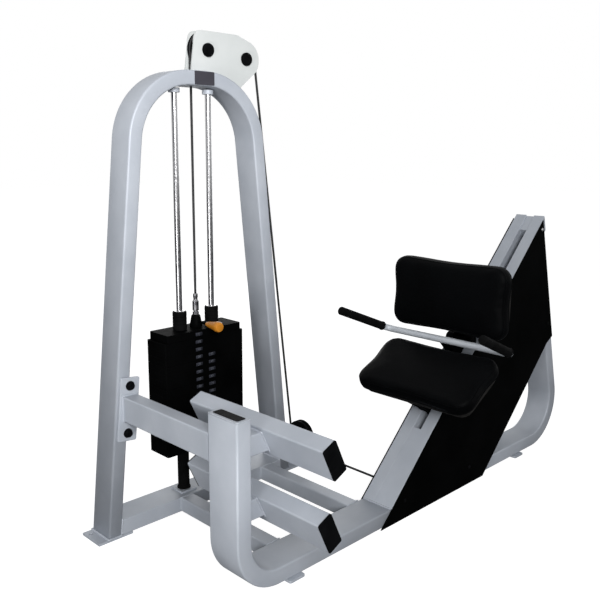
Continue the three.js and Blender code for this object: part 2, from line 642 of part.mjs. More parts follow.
function buildStack() {
  for (let k = 0; k < plateCount; k += platesPerNode) {
    const count = Math.min(platesPerNode, plateCount - k);
    const plates = Array.from({ length: count }, (_, i) => weightPlate(plateWidth,
      stackBottomZ + (k + i) * platePitch, i === count - 1 ? plateThickness : platePitch, stemHoleRadius));
    add(`weight_plates_${1 + k / platesPerNode}`, join(...plates), blackPaint);
  }
  add('head_plate', weightPlate(headPlateWidth, stackTopZ, plateThickness, stemHoleRadius), blackPaint);

  const stem = roundBar('z', stemRadius, stackBottomZ + stemTipClearance, headTopZ + wall, smallSides);
  stem.translate(stackX, towerY, 0);

  const bossBottom = headTopZ + gap;
  const boss = turned('y', [[0, 0], [stemBoss.bottomRadius, 0], [stemBoss.bottomRadius, stemBoss.height / 4],
    [stemBoss.topRadius, stemBoss.height], [0, stemBoss.height]]);
  boss.rotateX(Math.PI / 2).translate(stackX, towerY, bossBottom);
  const pinZ = bossBottom + pinHeightOnBoss;
  const pinHole = roundBar('y', pinHoleRadius, -2 * stemBoss.bottomRadius, pinDepthInBoss - stemBoss.bottomRadius,
    smallSides).translate(stackX, towerY, pinZ);
  add('selector_stem', join(cut(boss, pinHole), stem), blackPaint);

  const knobStart = -knob.start;
  const pinTip = pinDepthInBoss - stemBoss.bottomRadius - 2 * gap;
  const shaft = roundBar('y', pinRadius, knobStart - knob.smallRadius, pinTip, smallSides);
  const knobEnd = knobStart - knob.length;
  const knobBody = turned('y', [[0, knobEnd], [knob.wideRadius - knob.edge, knobEnd],
    [knob.wideRadius, knobEnd + knob.edge], [knob.wideRadius, knobEnd + knob.head],
    [knob.smallRadius, knobStart - knob.edge], [knob.smallRadius - plateChamfer, knobStart], [0, knobStart]]);
  add('selector_pin', join(shaft, knobBody).translate(stackX, towerY, pinZ), orange);

  const bumpers = rodXs.map((x) => {
    const z0 = headTopZ + gap;
    const sleeve = turned('y', [[rodHoleRadius, 0], [bumperRadius, 0], [bumperRadius, bumperHeight - bumperEdge],
      [bumperRadius - bumperEdge, bumperHeight], [rodHoleRadius, bumperHeight], [rodHoleRadius, 0]]);
    return sleeve.rotateX(Math.PI / 2).translate(x, towerY, z0);
  });
  bumpers.forEach((bumper, i) => add(`rod_bumper_${i + 1}`, bumper, rubber));

  const fittingBottom = bossBottom + stemBoss.height + gap;
  const eyeStart = fitting.length - fitting.endHeight;
  const shank = turned('y', [[0, 0], [fitting.radius, 0], [fitting.radius, fitting.endHeight],
    [fitting.waistRadius, fitting.endHeight + fitting.neck], [fitting.waistRadius, eyeStart - fitting.neck],
    [fitting.eyeRadius, eyeStart], [fitting.eyeRadius, fitting.length], [0, fitting.length]], smallSides);
  add('cable_fitting', shank.rotateX(Math.PI / 2).translate(stackX, towerY, fittingBottom), chrome);

  const innerArc = towerBendRadius - towerThickness / 2;
  const crown = towerHeight - towerThickness;
  const rodTop = (x) => {
    const straightHalf = towerOuterHalf(crown + towerThickness / 2) - towerThickness / 2
      - towerBendRadius * Math.tan((Math.PI / 2 - Math.atan(towerLeanSlope)) / 2);
    const beyond = Math.max(0, Math.abs(x - towerX) + rodCollarRadius - straightHalf);
    return crown - innerArc + Math.sqrt(innerArc ** 2 - beyond ** 2) - gap;
  };
  const seatZ = padHeight + baseBarHeight + pedestalBase.height + gap;
  const rods = rodXs.map((x) => roundBar('z', rodRadius, seatZ, rodTop(x), rodSides).translate(x, towerY, 0));
  const collars = rodXs.map((x) => roundBar('z', rodCollarRadius, rodTop(x) - rodCollarHeight, rodTop(x), smallSides)
    .translate(x, towerY, 0));
  rods.forEach((rod, i) => add(`guide_rod_${i + 1}`, join(rod, collars[i]), chrome));

  const posts = rodXs.map((x) => {
    const top = stackBottomZ - gap - seatZ;
    return turned('y', [[rodHoleRadius, 0], [pedestalRadius, 0], [pedestalRadius, top - pedestalPad.height],
      [pedestalPad.radius, top - pedestalPad.height], [pedestalPad.radius, top], [rodHoleRadius, top],
      [rodHoleRadius, 0]], smallSides).rotateX(Math.PI / 2).translate(x, towerY, seatZ);
  });
  posts.forEach((post, i) => add(`stack_pedestal_${i + 1}`, post, rubber));
}

// A grooved pulley turned about its axis, with the groove's bottom at the cable's lower side
function pulley(axisName, size) {
  const half = size.width / 2;
  const bottom = size.groove - cableRadius - gap;
  const rim = size.groove + size.lip;
  return turned(axisName, [
    [size.bore + gap, -half], [rim, -half], [rim, -half * lipShare], [bottom, -half * grooveShare],
    [bottom, half * grooveShare], [rim, half * lipShare], [rim, half], [size.bore + gap, half],
    [size.bore + gap, -half],
  ]);
}

// Side plate of the crown pulleys: it stands on the crown and follows its bend
function bracketOutline() {
  const lean = Math.atan(towerLeanSlope);
  const cornerHalf = towerOuterHalf(towerHeight - towerThickness / 2) - towerThickness / 2 / Math.cos(lean);
  const centreX = towerX + cornerHalf - towerBendRadius * Math.tan((Math.PI / 2 - lean) / 2);
  const seatRadius = towerBendRadius + towerThickness / 2 + gap;
  const centreZ = towerHeight - seatRadius + gap;
  const tailAngle = Math.acos((secondPulleyX - bracket.tail - centreX) / seatRadius);
  const topZ = towerHeight + bracket.rise;
  const shoulderX = stackX + bracket.shoulder;
  const noseRadius = crownPulley.groove + crownPulley.lip + bracket.noseOver;
  const shape = new THREE.Shape();
  shape.moveTo(stackX - bracket.foot, towerHeight + gap);
  shape.lineTo(shoulderX, towerHeight + bracket.shoulderRise);
  shape.quadraticCurveTo(shoulderX, topZ, stackX + bracket.flatStart, topZ);
  shape.lineTo(secondPulleyX - bracket.flatEnd, topZ);
  shape.absarc(secondPulleyX, secondPulleyZ, noseRadius, noseStart, noseEnd, true);
  shape.absarc(centreX, centreZ, seatRadius, tailAngle, Math.PI / 2, false);
  return shape;
}

function buildCrownPulleys() {
  const away = (bracketSpacing + bracket.thickness) / 2;
  const places = [at(firstPulleyX, firstPulleyZ), at(secondPulleyX, secondPulleyZ)];
  for (const [name, side] of [['bracket_front', -1], ['bracket_back', 1]]) {
    const middle = towerY + side * away;
    const holes = places.map((place) => roundBar('y', crownPulley.bore + gap,
      middle - bracket.thickness, middle + bracket.thickness).translate(place.x, 0, place.y));
    add(name, cut(slab(bracketOutline(), bracket.thickness, middle), ...holes), palePaint);
  }
  places.forEach((place, i) => {
    const wheel = add(`crown_pulley_${i + 1}`, pulley('y', crownPulley), blackPlastic);
    wheel.position.set(place.x, towerY, place.y);
  });
  const outer = away + bracket.thickness / 2 + gap;
  places.forEach((place, i) => {
    const half = [
      [crownPulley.bore, outer], [axleCap.radius, outer], [axleCap.radius, outer + axleCap.height - axleCap.edge],
      [axleCap.radius - axleCap.edge, outer + axleCap.height], [0, outer + axleCap.height],
    ];
    const bolt = turned('y', [...half.map(([r, d]) => [r, -d]).reverse(), ...half]);
    add(`crown_axle_${i + 1}`, bolt.translate(place.x, towerY, place.y), blackPlastic);
  });
}

// The small pulley behind the rail lies in a plane parallel to the rail's face
const lowCableZ = basePulleyZ - basePulley.groove;
const railPulleyH = (lowCableZ - (basePulleyX - railFootX)) * railCos;
const railPulleyT = (basePulleyX - railFootX + lowCableZ) * railCos + railPulley.groove;

// Outline in Y and Z, extruded along X between two places
function slabAlongX(shape, x0, x1) {
  const geometry = new THREE.ExtrudeGeometry(shape, {
    depth: x1 - x0,
    bevelEnabled: false,
    curveSegments: bendSteps,
  });
  const turn = new THREE.Matrix4().makeBasis(
    new THREE.Vector3(0, 1, 0), new THREE.Vector3(0, 0, 1), new THREE.Vector3(1, 0, 0));
  return geometry.applyMatrix4(turn).translate(x0, 0, 0);
}

function buildLowerPulleys() {
  const wheel = add('base_pulley', pulley('x', basePulley), blackPlastic);
  wheel.position.set(basePulleyX, basePulleyY, basePulleyZ);

  const inner = basePulley.width / 2 + baseBracket.play;
  const outer = inner + baseBracket.plate;
  const nearY = towerFrontY + baseBracket.inset;
  const farY = nearY + baseBracket.width;
  const cheek = new THREE.Shape();
  cheek.moveTo(nearY, padHeight);
  cheek.lineTo(farY, padHeight);
  cheek.lineTo(farY, padHeight + baseBracket.shoulder);
  cheek.absarc(basePulleyY, basePulleyZ, baseBracket.hub, cheekStart, cheekEnd, false);
  const cheeks = [-outer, inner].map((x) => slabAlongX(cheek, basePulleyX + x, basePulleyX + x + baseBracket.plate));
  const floor = block(basePulleyX - outer, basePulleyX + outer, nearY, farY, padHeight, padHeight + baseBracket.floor);
  const pinEnd = outer + baseBracket.plate;
  const pin = roundBar('x', basePulley.bore, -pinEnd, pinEnd, smallSides);
  pin.translate(basePulleyX, basePulleyY, basePulleyZ);
  add('base_pulley_bracket', join(...cheeks, floor, pin), paint);

  const small = add('rail_pulley', pulley('z', railPulley), blackPlastic, railFrame);
  small.position.set(railPulleyT, railPulley.groove, railPulleyH);
  const backFace = railPulleyH - railPulley.width / 2 - gap;
  const frontFace = railPulleyH + railPulley.width / 2;
  const reach = beamWidth / 2 - gap;
  const rim = railPulley.groove + railPulley.lip;
  const farEnd = railPulleyT + rim + railPulleyBracket.margin;
  const plate = block(railPulleyT - rim, farEnd, -reach, reach,
    backFace - railPulleyBracket.plate, backFace);
  const lugs = [-reach, reach - railPulleyBracket.plate].map((y) => block(farEnd - railPulleyBracket.margin, farEnd,
    y, y + railPulleyBracket.plate, backFace - railPulleyBracket.plate, -railDepth - gap));
  const axlePin = roundBar('z', railPulley.bore, backFace - railPulleyBracket.plate / 2, frontFace, smallSides);
  axlePin.translate(railPulleyT, railPulley.groove, 0);
  add('rail_pulley_bracket', join(plate, ...lugs, axlePin), paint, railFrame);
}

// Carriage: a web through the slot, a backbone in front of the rail, and gussets up to the boards
const rollerPlaces = {
  roller_front_lower: [carriageTravelStart + rollerInset, roller.radius + gap],
  roller_front_upper: [carriageTravelStart + web.length - rollerInset, roller.radius + gap],
  roller_rear_lower: [carriageTravelStart + rollerInset, -railDepth - roller.radius - gap],
  roller_rear_upper: [carriageTravelStart + web.length - rollerInset, -railDepth - roller.radius - gap],
};

// Point under a pad's board, at a distance along the pad
function underPad({ tilt, start, height }, along) {
  const x = start + along * Math.cos(tilt) + boardDepth * Math.sin(tilt);
  const h = height + along * Math.sin(tilt) - boardDepth * Math.cos(tilt);
  return at(x, h);
}

function buildCarriage() {
  const plate = slab([
    at(carriageTravelStart, -web.inside), at(carriageTravelStart + web.length, -web.inside),
    at(carriageTravelStart + web.length, backbone.top - wall), at(carriageTravelStart, backbone.top - wall),
  ], web.thickness, 0);
  const spine = block(backboneStart, backboneStart + backbone.length, -backbone.width / 2, backbone.width / 2,
    backbone.bottom, backbone.top);
  const bores = Object.values(rollerPlaces).map(([t, h]) => roundBar('y', axleRadius + gap,
    -backbone.width, backbone.width, smallSides).translate(t, 0, h));
  const anchor = block(carriageTravelStart, carriageTravelStart + anchorSize, -anchorSize / 2, anchorSize / 2,
    railPulleyH - anchorSize / 2, railPulleyH + anchorSize / 2);

  const seatEnds = [board.margin, seatPad.length - board.margin].map((along) => underPad(padPlaces.seat, along));
  const backEnds = [board.margin, backPad.length * backGussetShare].map((along) => underPad(padPlaces.back, along));
  const foot = backbone.top - gusset.thickness;
  const seatGusset = [at(Math.max(seatEnds[0].x, backboneStart), foot), seatEnds[0], seatEnds[1],
    at(seatEnds[1].x, foot)];
  const backGusset = [at(backEnds[0].x, foot), backEnds[0], backEnds[1],
    at(backboneStart + backbone.length, backbone.bottom + gusset.thickness)];
  const neck = [
    at(handleAlong - saddle.width / 2, foot), at(handleAlong - saddle.width / 2, handle.out),
    at(handleAlong + saddle.width / 2, handle.out), at(handleAlong + saddle.width / 2 + saddle.foot, foot),
  ];
  const gussets = [seatGusset, backGusset, neck].flatMap((outline) => [-1, 1].map((side) => slab(
    outline, gusset.thickness, side * (gusset.inner + gusset.thickness / 2))));
  const saddleCut = roundBar('y', handle.radius + gap, -backbone.width, backbone.width);
  saddleCut.translate(handleAlong, 0, handle.out);
  add('carriage_frame', cut(join(plate, spine, anchor, ...gussets), saddleCut, ...bores), paint, railFrame);

  for (const [name, [t, h]] of Object.entries(rollerPlaces)) {
    const inner = slotWidth / 2 + (railTubeWidth - roller.width) / 2;
    const outer = inner + roller.width;
    const half = [
      [axleRadius, inner], [roller.radius - plateChamfer, inner], [roller.radius, inner + plateChamfer],
      [roller.radius, outer - plateChamfer], [roller.radius - plateChamfer, outer], [0, outer],
    ];
    const profile = [...half.map(([r, d]) => [r, -d]).reverse(), ...half];
    const pair = add(name, turned('y', profile, smallSides), rubber, railFrame);
    pair.position.set(t, 0, h);
  }
}

// Outline of a pad: rounded corners, with sides that draw in towards their middles
function padRing(length, width, corner, inset, z) {
  const points = [];
  const x = length / 2 - inset;
  const y = width / 2 - inset;
  const r = Math.max(corner - inset, Math.min(corner, x, y) / 4);
  const corners = [[x - r, y - r, 0], [r - x, y - r, 1], [r - x, r - y, 2], [x - r, r - y, 3]];
  corners.forEach(([cx, cy, quarter], i) => {
    for (let k = 0; k <= cushionForm.cornerSteps; k += 1) {
      const a = (quarter + k / cushionForm.cornerSteps) * Math.PI / 2;
      points.push(new THREE.Vector3(cx + r * Math.cos(a), cy + r * Math.sin(a), z));
    }
    const next = corners[(i + 1) % corners.length];
    const from = points[points.length - 1].clone();
    const a = (quarter + 1) * Math.PI / 2;
    const to = new THREE.Vector3(next[0] + r * Math.cos(a), next[1] + r * Math.sin(a), z);
    for (let k = 1; k < cushionForm.sideSteps; k += 1) {
      const u = k / cushionForm.sideSteps;
      const p = from.clone().lerp(to, u);
      const pull = cushionForm.drawIn * Math.sin(Math.PI * u) ** 2;
      points.push(p.add(new THREE.Vector3(-Math.cos(a), -Math.sin(a), 0).multiplyScalar(pull)));
    }
  });
  return points;
}

// Closed pad: flat underneath, drawn-in sides, rounded edges and a crowned face at z = 0
function cushion({ length, width, corner }) {
  const { crown, edge, sideBulge, edgeSteps, faceSteps } = cushionForm;
  const rings = [padRing(length, width, corner, edge / 2, -padThickness)];
  const lowEdge = edge / 2;
  const sideTop = -crown - edge;
  for (let k = 0; k <= edgeSteps; k += 1) {
    const u = k / edgeSteps;
    const z = -padThickness + lowEdge + (sideTop + padThickness - lowEdge) * u;
    rings.push(padRing(length, width, corner, sideBulge * (1 - Math.sin(Math.PI * u)), z));
  }
  for (let k = 1; k <= edgeSteps; k += 1) {
    const a = (k / edgeSteps) * (Math.PI / 2);
    rings.push(padRing(length, width, corner, sideBulge + edge * (1 - Math.cos(a)), -crown - edge * (1 - Math.sin(a))));
  }
  const reach = Math.min(length, width) / 2 - edge - sideBulge;
  for (let k = 1; k < faceSteps; k += 1) {
    const u = k / faceSteps;
    rings.push(padRing(length, width, corner, sideBulge + edge + reach * u, -crown * (1 - u) ** 2));
  }
  const count = rings[0].length;
  const positions = rings.flat().flatMap((p) => [p.x, p.y, p.z]);
  positions.push(0, 0, -padThickness, 0, 0, 0);
  const bottomCentre = rings.length * count;
  const indices = [];
  for (let i = 0; i < count; i += 1) {
    const j = (i + 1) % count;
    for (let k = 0; k < rings.length - 1; k += 1) {
      const a = k * count;
      const b = a + count;
      indices.push(a + i, a + j, b + j, a + i, b + j, b + i);
    }
    const top = (rings.length - 1) * count;
    indices.push(bottomCentre, j, i, bottomCentre + 1, top + i, top + j);
  }
  const geometry = new THREE.BufferGeometry();
  geometry.setAttribute('position', new THREE.BufferAttribute(new Float32Array(positions), 3));
  geometry.setIndex(indices);
  geometry.computeVertexNormals();
  return geometry.translate(length / 2, 0, 0);
}

function buildPads() {
  for (const [name, { pad, tilt, start, height }] of Object.entries(padPlaces)) {
    const place = (geometry) => geometry.rotateY(-tilt).translate(start, 0, height);
    add(`${name}_pad`, place(cushion(pad)), vinyl, railFrame);
    const shape = roundedRectangle(pad.length - 2 * board.margin, pad.width - 2 * board.margin,
      pad.corner - board.margin);
    const sheet = new THREE.ExtrudeGeometry(shape, {
      depth: board.thickness,
      bevelEnabled: false,
      curveSegments: cornerSteps,
    });
    sheet.translate(pad.length / 2, 0, -padThickness - gap - board.thickness);
    add(`${name}_board`, place(sheet), ply, railFrame);
  }
}

// Route of a tube or cable: straight between its points, which the bends place closely
class Route extends THREE.Curve {
  constructor(points) {
    super();
    this.points = points;
  }

  getPointAt(u, target = new THREE.Vector3()) {
    const share = u * (this.points.length - 1);
    const i = Math.min(Math.floor(share), this.points.length - 2);
    return target.lerpVectors(this.points[i], this.points[i + 1], share - i);
  }

  getTangentAt(u, target = new THREE.Vector3()) {
    const i = Math.round(u * (this.points.length - 1));
    const before = this.points[Math.max(0, i - 1)];
    const after = this.points[Math.min(this.points.length - 1, i + 1)];
    return target.copy(after).sub(before).normalize();
  }
}

function tubeAlong(points, radius, sides) {
  const shape = new THREE.Shape();
  shape.absarc(0, 0, radius, 0, Math.PI * 2);
  return new THREE.ExtrudeGeometry(shape, {
    steps: points.length - 1,
    extrudePath: new Route(points),
    bevelEnabled: false,
    curveSegments: sides / 2,
  });
}

// Handle bar between the pads: a straight middle, two bends, and grips over the ends
function buildHandle() {
  const away = new THREE.Vector3(-grip.back, grip.side, grip.rise);
  const turn = new THREE.Matrix4().makeRotationY(railAngle);
  const direction = away.clone().applyMatrix4(turn).normalize();
  const middle = new THREE.Vector3(handleAlong, 0, handle.out);
  const corner = middle.clone().setY(handle.half);
  const before = corner.clone().setY(handle.half - handle.bend);
  const after = corner.clone().addScaledVector(direction, handle.bend);
  const bend = new THREE.QuadraticBezierCurve3(before, corner, after).getPoints(handle.steps);
  const end = corner.clone().addScaledVector(direction, away.length());
  const half = [...bend, end];
  const mirror = (p) => p.clone().setY(-p.y);
  const points = [...half.map(mirror).reverse(), ...half];
  add('handle_bar', tubeAlong(points, handle.radius, roundSides), palePaint, railFrame);

  const tip = away.length();
  const sleeve = turned('y', [[0, 0], [grip.radius - plateChamfer, 0], [grip.radius, -plateChamfer],
    [grip.radius, -grip.cover], [handle.radius + gap, -grip.cover], [handle.radius + gap, -gap - plateChamfer],
    [0, -gap - plateChamfer], [0, 0]].reverse());
  const up = new THREE.Vector3(0, 1, 0);
  const grips = [1, -1].map((side) => {
    const way = new THREE.Vector3(direction.x, side * direction.y, direction.z);
    const start = new THREE.Vector3(corner.x, side * corner.y, corner.z);
    const turned90 = new THREE.Quaternion().setFromUnitVectors(up, way);
    const seat = start.addScaledVector(way, tip + 2 * gap + plateChamfer);
    return sleeve.clone().applyQuaternion(turned90).translate(seat.x, seat.y, seat.z);
  });
  grips.forEach((piece, i) => add(`hand_grip_${i + 1}`, piece, rubber, railFrame));
}

// Cable: a stretch over the stack, a fixed run by way of four pulleys, and a stretch up to the carriage
const railPoint = (t, y, h) => new THREE.Vector3(onRail(t, h).x, y, onRail(t, h).y);

function arc(from, to, steps, place) {
  return Array.from({ length: steps + 1 }, (_, k) => place(from + ((to - from) * k) / steps));
}

function buildCable() {
  const r = crownPulley.groove;
  const onTower = (x, z) => new THREE.Vector3(x, towerY, z);
  const round = (cx, cz) => (a) => onTower(cx + r * Math.cos(a), cz + r * Math.sin(a));
  const across = Math.atan2(secondPulleyZ - firstPulleyZ, secondPulleyX - firstPulleyX) + Math.PI / 2;
  const dropX = basePulleyX - secondPulleyX;
  const dropZ = basePulleyZ - secondPulleyZ;
  const leave = Math.atan2(dropZ, dropX) + Math.acos(r / Math.hypot(dropX, dropZ));
  const fixedEnd = towerHeight - towerThickness - stackCableEnd;
  const rail = (b) => railPoint(railPulleyT - railPulley.groove * Math.cos(b),
    railPulley.groove * (1 - Math.sin(b)), railPulleyH);
  const points = [
    onTower(stackX, fixedEnd),
    ...arc(Math.PI, across, bendSteps, round(firstPulleyX, firstPulleyZ)),
    ...arc(across, leave, bendSteps, round(secondPulleyX, secondPulleyZ)),
    ...arc(0, -Math.PI / 2, bendSteps, (a) => new THREE.Vector3(basePulleyX,
      basePulleyY + basePulley.groove * Math.cos(a), basePulleyZ + basePulley.groove * Math.sin(a))),
    ...arc(0, Math.PI / 2, bendSteps, rail),
    railPoint(railPulleyT + cableStraight, 0, railPulleyH),
  ];
  add('cable_main_run', tubeAlong(points, cableRadius, cableSides), cableSteel);

  const fittingTop = headTopZ + 2 * gap + stemBoss.height + fitting.length;
  add('cable_stack_run', tubeAlong([onTower(stackX, fittingTop + gap), onTower(stackX, fixedEnd - gap)],
    cableRadius, cableSides), cableSteel);
  add('cable_carriage_run', tubeAlong([
    railPoint(railPulleyT + cableStraight + gap, 0, railPulleyH),
    railPoint(carriageTravelStart - gap, 0, railPulleyH),
  ], cableRadius, cableSides), cableSteel);
}

buildMainBeam();
buildRearLeg();
buildRail();
buildCovers();
buildFootBars();
buildTower();
buildLinkBeam();
buildCrossTubes();
buildStack();
buildCrownPulleys();
buildLowerPulleys();
buildCarriage();
buildPads();
buildHandle();
buildCable();

export default group;
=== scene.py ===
# Seated calf raise machine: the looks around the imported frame
import json
import math

import bmesh
import bpy
from mathutils import Matrix, Vector
from mathutils.bvhtree import BVHTree


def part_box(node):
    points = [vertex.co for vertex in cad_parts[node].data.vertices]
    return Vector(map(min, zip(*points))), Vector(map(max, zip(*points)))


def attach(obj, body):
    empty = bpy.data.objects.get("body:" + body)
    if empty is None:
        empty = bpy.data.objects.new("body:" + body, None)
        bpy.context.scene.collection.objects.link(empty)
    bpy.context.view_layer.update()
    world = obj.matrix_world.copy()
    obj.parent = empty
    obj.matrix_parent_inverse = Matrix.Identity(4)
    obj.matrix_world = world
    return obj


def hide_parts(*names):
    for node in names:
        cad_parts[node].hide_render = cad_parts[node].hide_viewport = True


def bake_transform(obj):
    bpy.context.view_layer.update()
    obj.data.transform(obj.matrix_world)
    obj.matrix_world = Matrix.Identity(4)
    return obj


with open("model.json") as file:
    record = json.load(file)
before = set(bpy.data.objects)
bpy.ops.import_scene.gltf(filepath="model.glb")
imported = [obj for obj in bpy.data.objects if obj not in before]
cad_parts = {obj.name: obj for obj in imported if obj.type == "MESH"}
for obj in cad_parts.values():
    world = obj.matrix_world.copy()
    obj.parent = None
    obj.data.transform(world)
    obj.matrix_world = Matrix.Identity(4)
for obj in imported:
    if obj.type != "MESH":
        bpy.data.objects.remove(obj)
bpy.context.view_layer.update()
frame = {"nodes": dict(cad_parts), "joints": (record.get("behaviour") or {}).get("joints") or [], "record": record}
nodes = frame["nodes"]
scene = bpy.context.scene
mm = 0.001
tiny = 0.000001  # points nearer than this are one point
alongX, alongY, alongZ = Vector((1, 0, 0)), Vector((0, 1, 0)), Vector((0, 0, 1))


def placed(name, data, place=None):
    # new object in the scene
    obj = bpy.data.objects.new(name, data)
    scene.collection.objects.link(obj)
    if place:
        obj.matrix_world = place
    return obj


def meshObject(name, bm):
    mesh = bpy.data.meshes.new(name)
    bm.to_mesh(mesh)
    bm.free()
    return placed(name, mesh)


# camera and lights

camera = {
    "place": (-1.370, -1.448, 1.200),
    "yaw": 45.112,  # degrees from +X towards +Y
    "pitch": 11.359,  # degrees down
    "roll": 0.3577,
    "lens": 45.31,
    "sensor": 36.0,
    "reach": 100,
}
room = {
    "floorSize": 40.0,
    "floorColor": (0.34, 0.34, 0.345),
    "floorGlow": 0.95,  # seen by the camera only
    "white": (1.0, 1.0, 1.0),
    "worldColor": (0.94, 0.97, 1.0),
    "ambient": 0.175,
    "aim": (0.0, 0.4, 1.2),
}
lamps = {
    "keyLamp": {"place": (-2.1, -3.3, 2.2), "size": 1.8, "power": 134},
    "sideLamp": {"place": (-2.4, -0.7, 0.5), "size": 0.9, "power": 21},
    "topLamp": {"place": (-0.6, 0.9, 3.0), "size": 1.2, "power": 6},
    "rearLamp": {"place": (3.2, 3.6, 1.6), "size": 2.4, "power": 30},
    "towerSpot": {"place": (-1.7, -3.4, 2.2), "size": 0.5, "power": 420, "angle": 27,
                  "aim": (0.12, 0.53, 1.2)},
}


def makeCamera():
    yaw, pitch, roll = (math.radians(camera[key]) for key in ("yaw", "pitch", "roll"))
    level = Vector((math.cos(yaw), math.sin(yaw), 0))
    side = Vector((math.sin(yaw), -math.cos(yaw), 0))
    ahead = level * math.cos(pitch) - alongZ * math.sin(pitch)
    over = alongZ * math.cos(pitch) + level * math.sin(pitch)
    right = side * math.cos(roll) + over * math.sin(roll)
    top = over * math.cos(roll) - side * math.sin(roll)
    data = bpy.data.cameras.new("camera")
    data.sensor_width = camera["sensor"]
    data.sensor_fit = "HORIZONTAL"
    data.lens = camera["lens"]
    data.clip_end = camera["reach"]
    turn = Matrix((right, top, -ahead)).transposed().to_4x4()
    scene.camera = placed("camera", data, Matrix.Translation(camera["place"]) @ turn)


def makeLamp(name, place, size, power, aim=room["aim"], angle=None):
    # round area lamp, or a soft spot where an angle is given
    data = bpy.data.lights.new(name, "SPOT" if angle else "AREA")
    if angle:
        data.spot_size = math.radians(angle)
        data.spot_blend = 1.0
        data.shadow_soft_size = size
    else:
        data.shape = "DISK"
        data.size = size
    data.energy = power
    way = Vector(aim) - Vector(place)
    placed(name, data, Matrix.Translation(place) @ way.to_track_quat("-Z", "Y").to_matrix().to_4x4())


def wire(tree, node, *values, **sockets):
    # each socket, by place or by name, gets a value or the output that feeds it
    named = [(key.replace("_", " "), value) for key, value in sockets.items()]
    for key, value in list(enumerate(values)) + named:
        if isinstance(value, bpy.types.NodeSocket):
            tree.links.new(value, node.inputs[key])
        else:
            node.inputs[key].default_value = value
    return node


def addNode(tree, kind, *values, **sockets):
    return wire(tree, tree.nodes.new(kind), *values, **sockets)


def mathOf(tree, operation, *values):
    node = tree.nodes.new("ShaderNodeMath")
    node.operation = operation
    return wire(tree, node, *values).outputs[0]


def emptyTree(owner):
    owner.use_nodes = True
    owner.node_tree.nodes.clear()
    return owner.node_tree


def mixByRay(tree, rays, other, seen):
    # what these rays meet, and what all the others meet
    path = addNode(tree, "ShaderNodeLightPath")
    factor = path.outputs[rays[0]]
    for ray in rays[1:]:
        factor = mathOf(tree, "MAXIMUM", factor, path.outputs[ray])
    return addNode(tree, "ShaderNodeMixShader", factor, other.outputs[0], seen.outputs[0]).outputs[0]


def makeWorld():
    world = bpy.data.worlds.new("studio")
    scene.world = world
    tree = emptyTree(world)
    dim = addNode(tree, "ShaderNodeBackground", Color=room["worldColor"] + (1,), Strength=room["ambient"])
    white = addNode(tree, "ShaderNodeBackground", Color=room["white"] + (1,), Strength=1.0)
    mixed = mixByRay(tree, ["Is Camera Ray", "Is Glossy Ray", "Is Transmission Ray"], dim, white)
    addNode(tree, "ShaderNodeOutputWorld", Surface=mixed)


def makeFloor():
    bm = bmesh.new()
    bmesh.ops.create_grid(bm, x_segments=2, y_segments=2, size=room["floorSize"] / 2)
    floor = meshObject("floor", bm)
    material = bpy.data.materials.new("floorWhite")
    tree = emptyTree(material)
    base = addNode(tree, "ShaderNodeBsdfDiffuse", Color=room["floorColor"] + (1,))
    glow = addNode(tree, "ShaderNodeEmission", Color=room["white"] + (1,), Strength=room["floorGlow"])
    both = addNode(tree, "ShaderNodeAddShader", base.outputs[0], glow.outputs[0])
    mixed = mixByRay(tree, ["Is Camera Ray", "Is Transmission Ray"], base, both)
    addNode(tree, "ShaderNodeOutputMaterial", Surface=mixed)
    floor.data.materials.append(material)


makeCamera()
makeWorld()
for lampName, lamp in lamps.items():
    makeLamp(lampName, **lamp)
makeFloor()
scene.view_settings.view_transform = "Standard"
print("camera, lights and floor are in place")


# materials

paint = {"cloud": 9.0, "detail": 4.0, "gloss": 40.0, "glossSpan": (0.85, 1.2), "coatRough": 0.15,
         "peel": 650.0, "strength": 0.05, "depth": 0.0004}
plastic = {"cloud": 25.0, "detail": 3.0, "gloss": 120.0, "glossSpan": (0.85, 1.15), "depth": 0.0003}
vinyl = {"low": (0.0004, 0.0005, 0.0007), "high": (0.0010, 0.0012, 0.0015), "cloud": 7.0, "cells": 520.0,
         "creases": 60.0, "creaseShare": 0.5, "strength": 0.25, "depth": 0.0006,
         "rough": (0.46, 0.6), "specular": 0.4, "ior": 1.12}
drawn = {"grain": (2.0, 2.0, 30.0), "scale": 3.0, "glossSpan": (0.7, 1.4)}
sheath = {"low": (0.006, 0.0065, 0.007), "high": (0.020, 0.021, 0.022), "strands": 190.0, "distortion": 0.4,
          "strength": 0.5, "depth": 0.0006, "rough": 0.45, "specular": 0.3}
board = {"low": (0.004, 0.0038, 0.0035), "high": (0.012, 0.011, 0.010), "grain": (1.0, 12.0, 12.0),
         "scale": 9.0, "strength": 0.2, "depth": 0.0005, "rough": 0.75, "specular": 0.2}
contrast = (0.35, 0.65)


def principled(name):
    material = bpy.data.materials.new(name)
    material.use_nodes = True
    tree = material.node_tree
    place = tree.nodes.new("ShaderNodeTexCoord")
    return material, tree, tree.nodes["Principled BSDF"], place.outputs["Object"]


def noiseOn(tree, place, scale, detail=3.0, rough=0.5):
    tex = addNode(tree, "ShaderNodeTexNoise", Vector=place, Scale=scale, Detail=detail, Roughness=rough)
    return tex.outputs["Fac"]


def grainOn(tree, place, grain, scale, detail):
    # noise that is stretched along one direction
    stretch = addNode(tree, "ShaderNodeMapping", Vector=place, Scale=grain)
    return noiseOn(tree, stretch.outputs["Vector"], scale, detail)


def ramp(tree, value, low, high):
    node = addNode(tree, "ShaderNodeValToRGB", Fac=value)
    for element, position, color in zip(node.color_ramp.elements, contrast, (low, high)):
        element.position = position
        element.color = color + (1,)
    return node.outputs["Color"]


def spanOf(tree, value, middle, span):
    node = addNode(tree, "ShaderNodeMapRange", Value=value, To_Min=middle * span[0], To_Max=middle * span[1])
    return node.outputs["Result"]


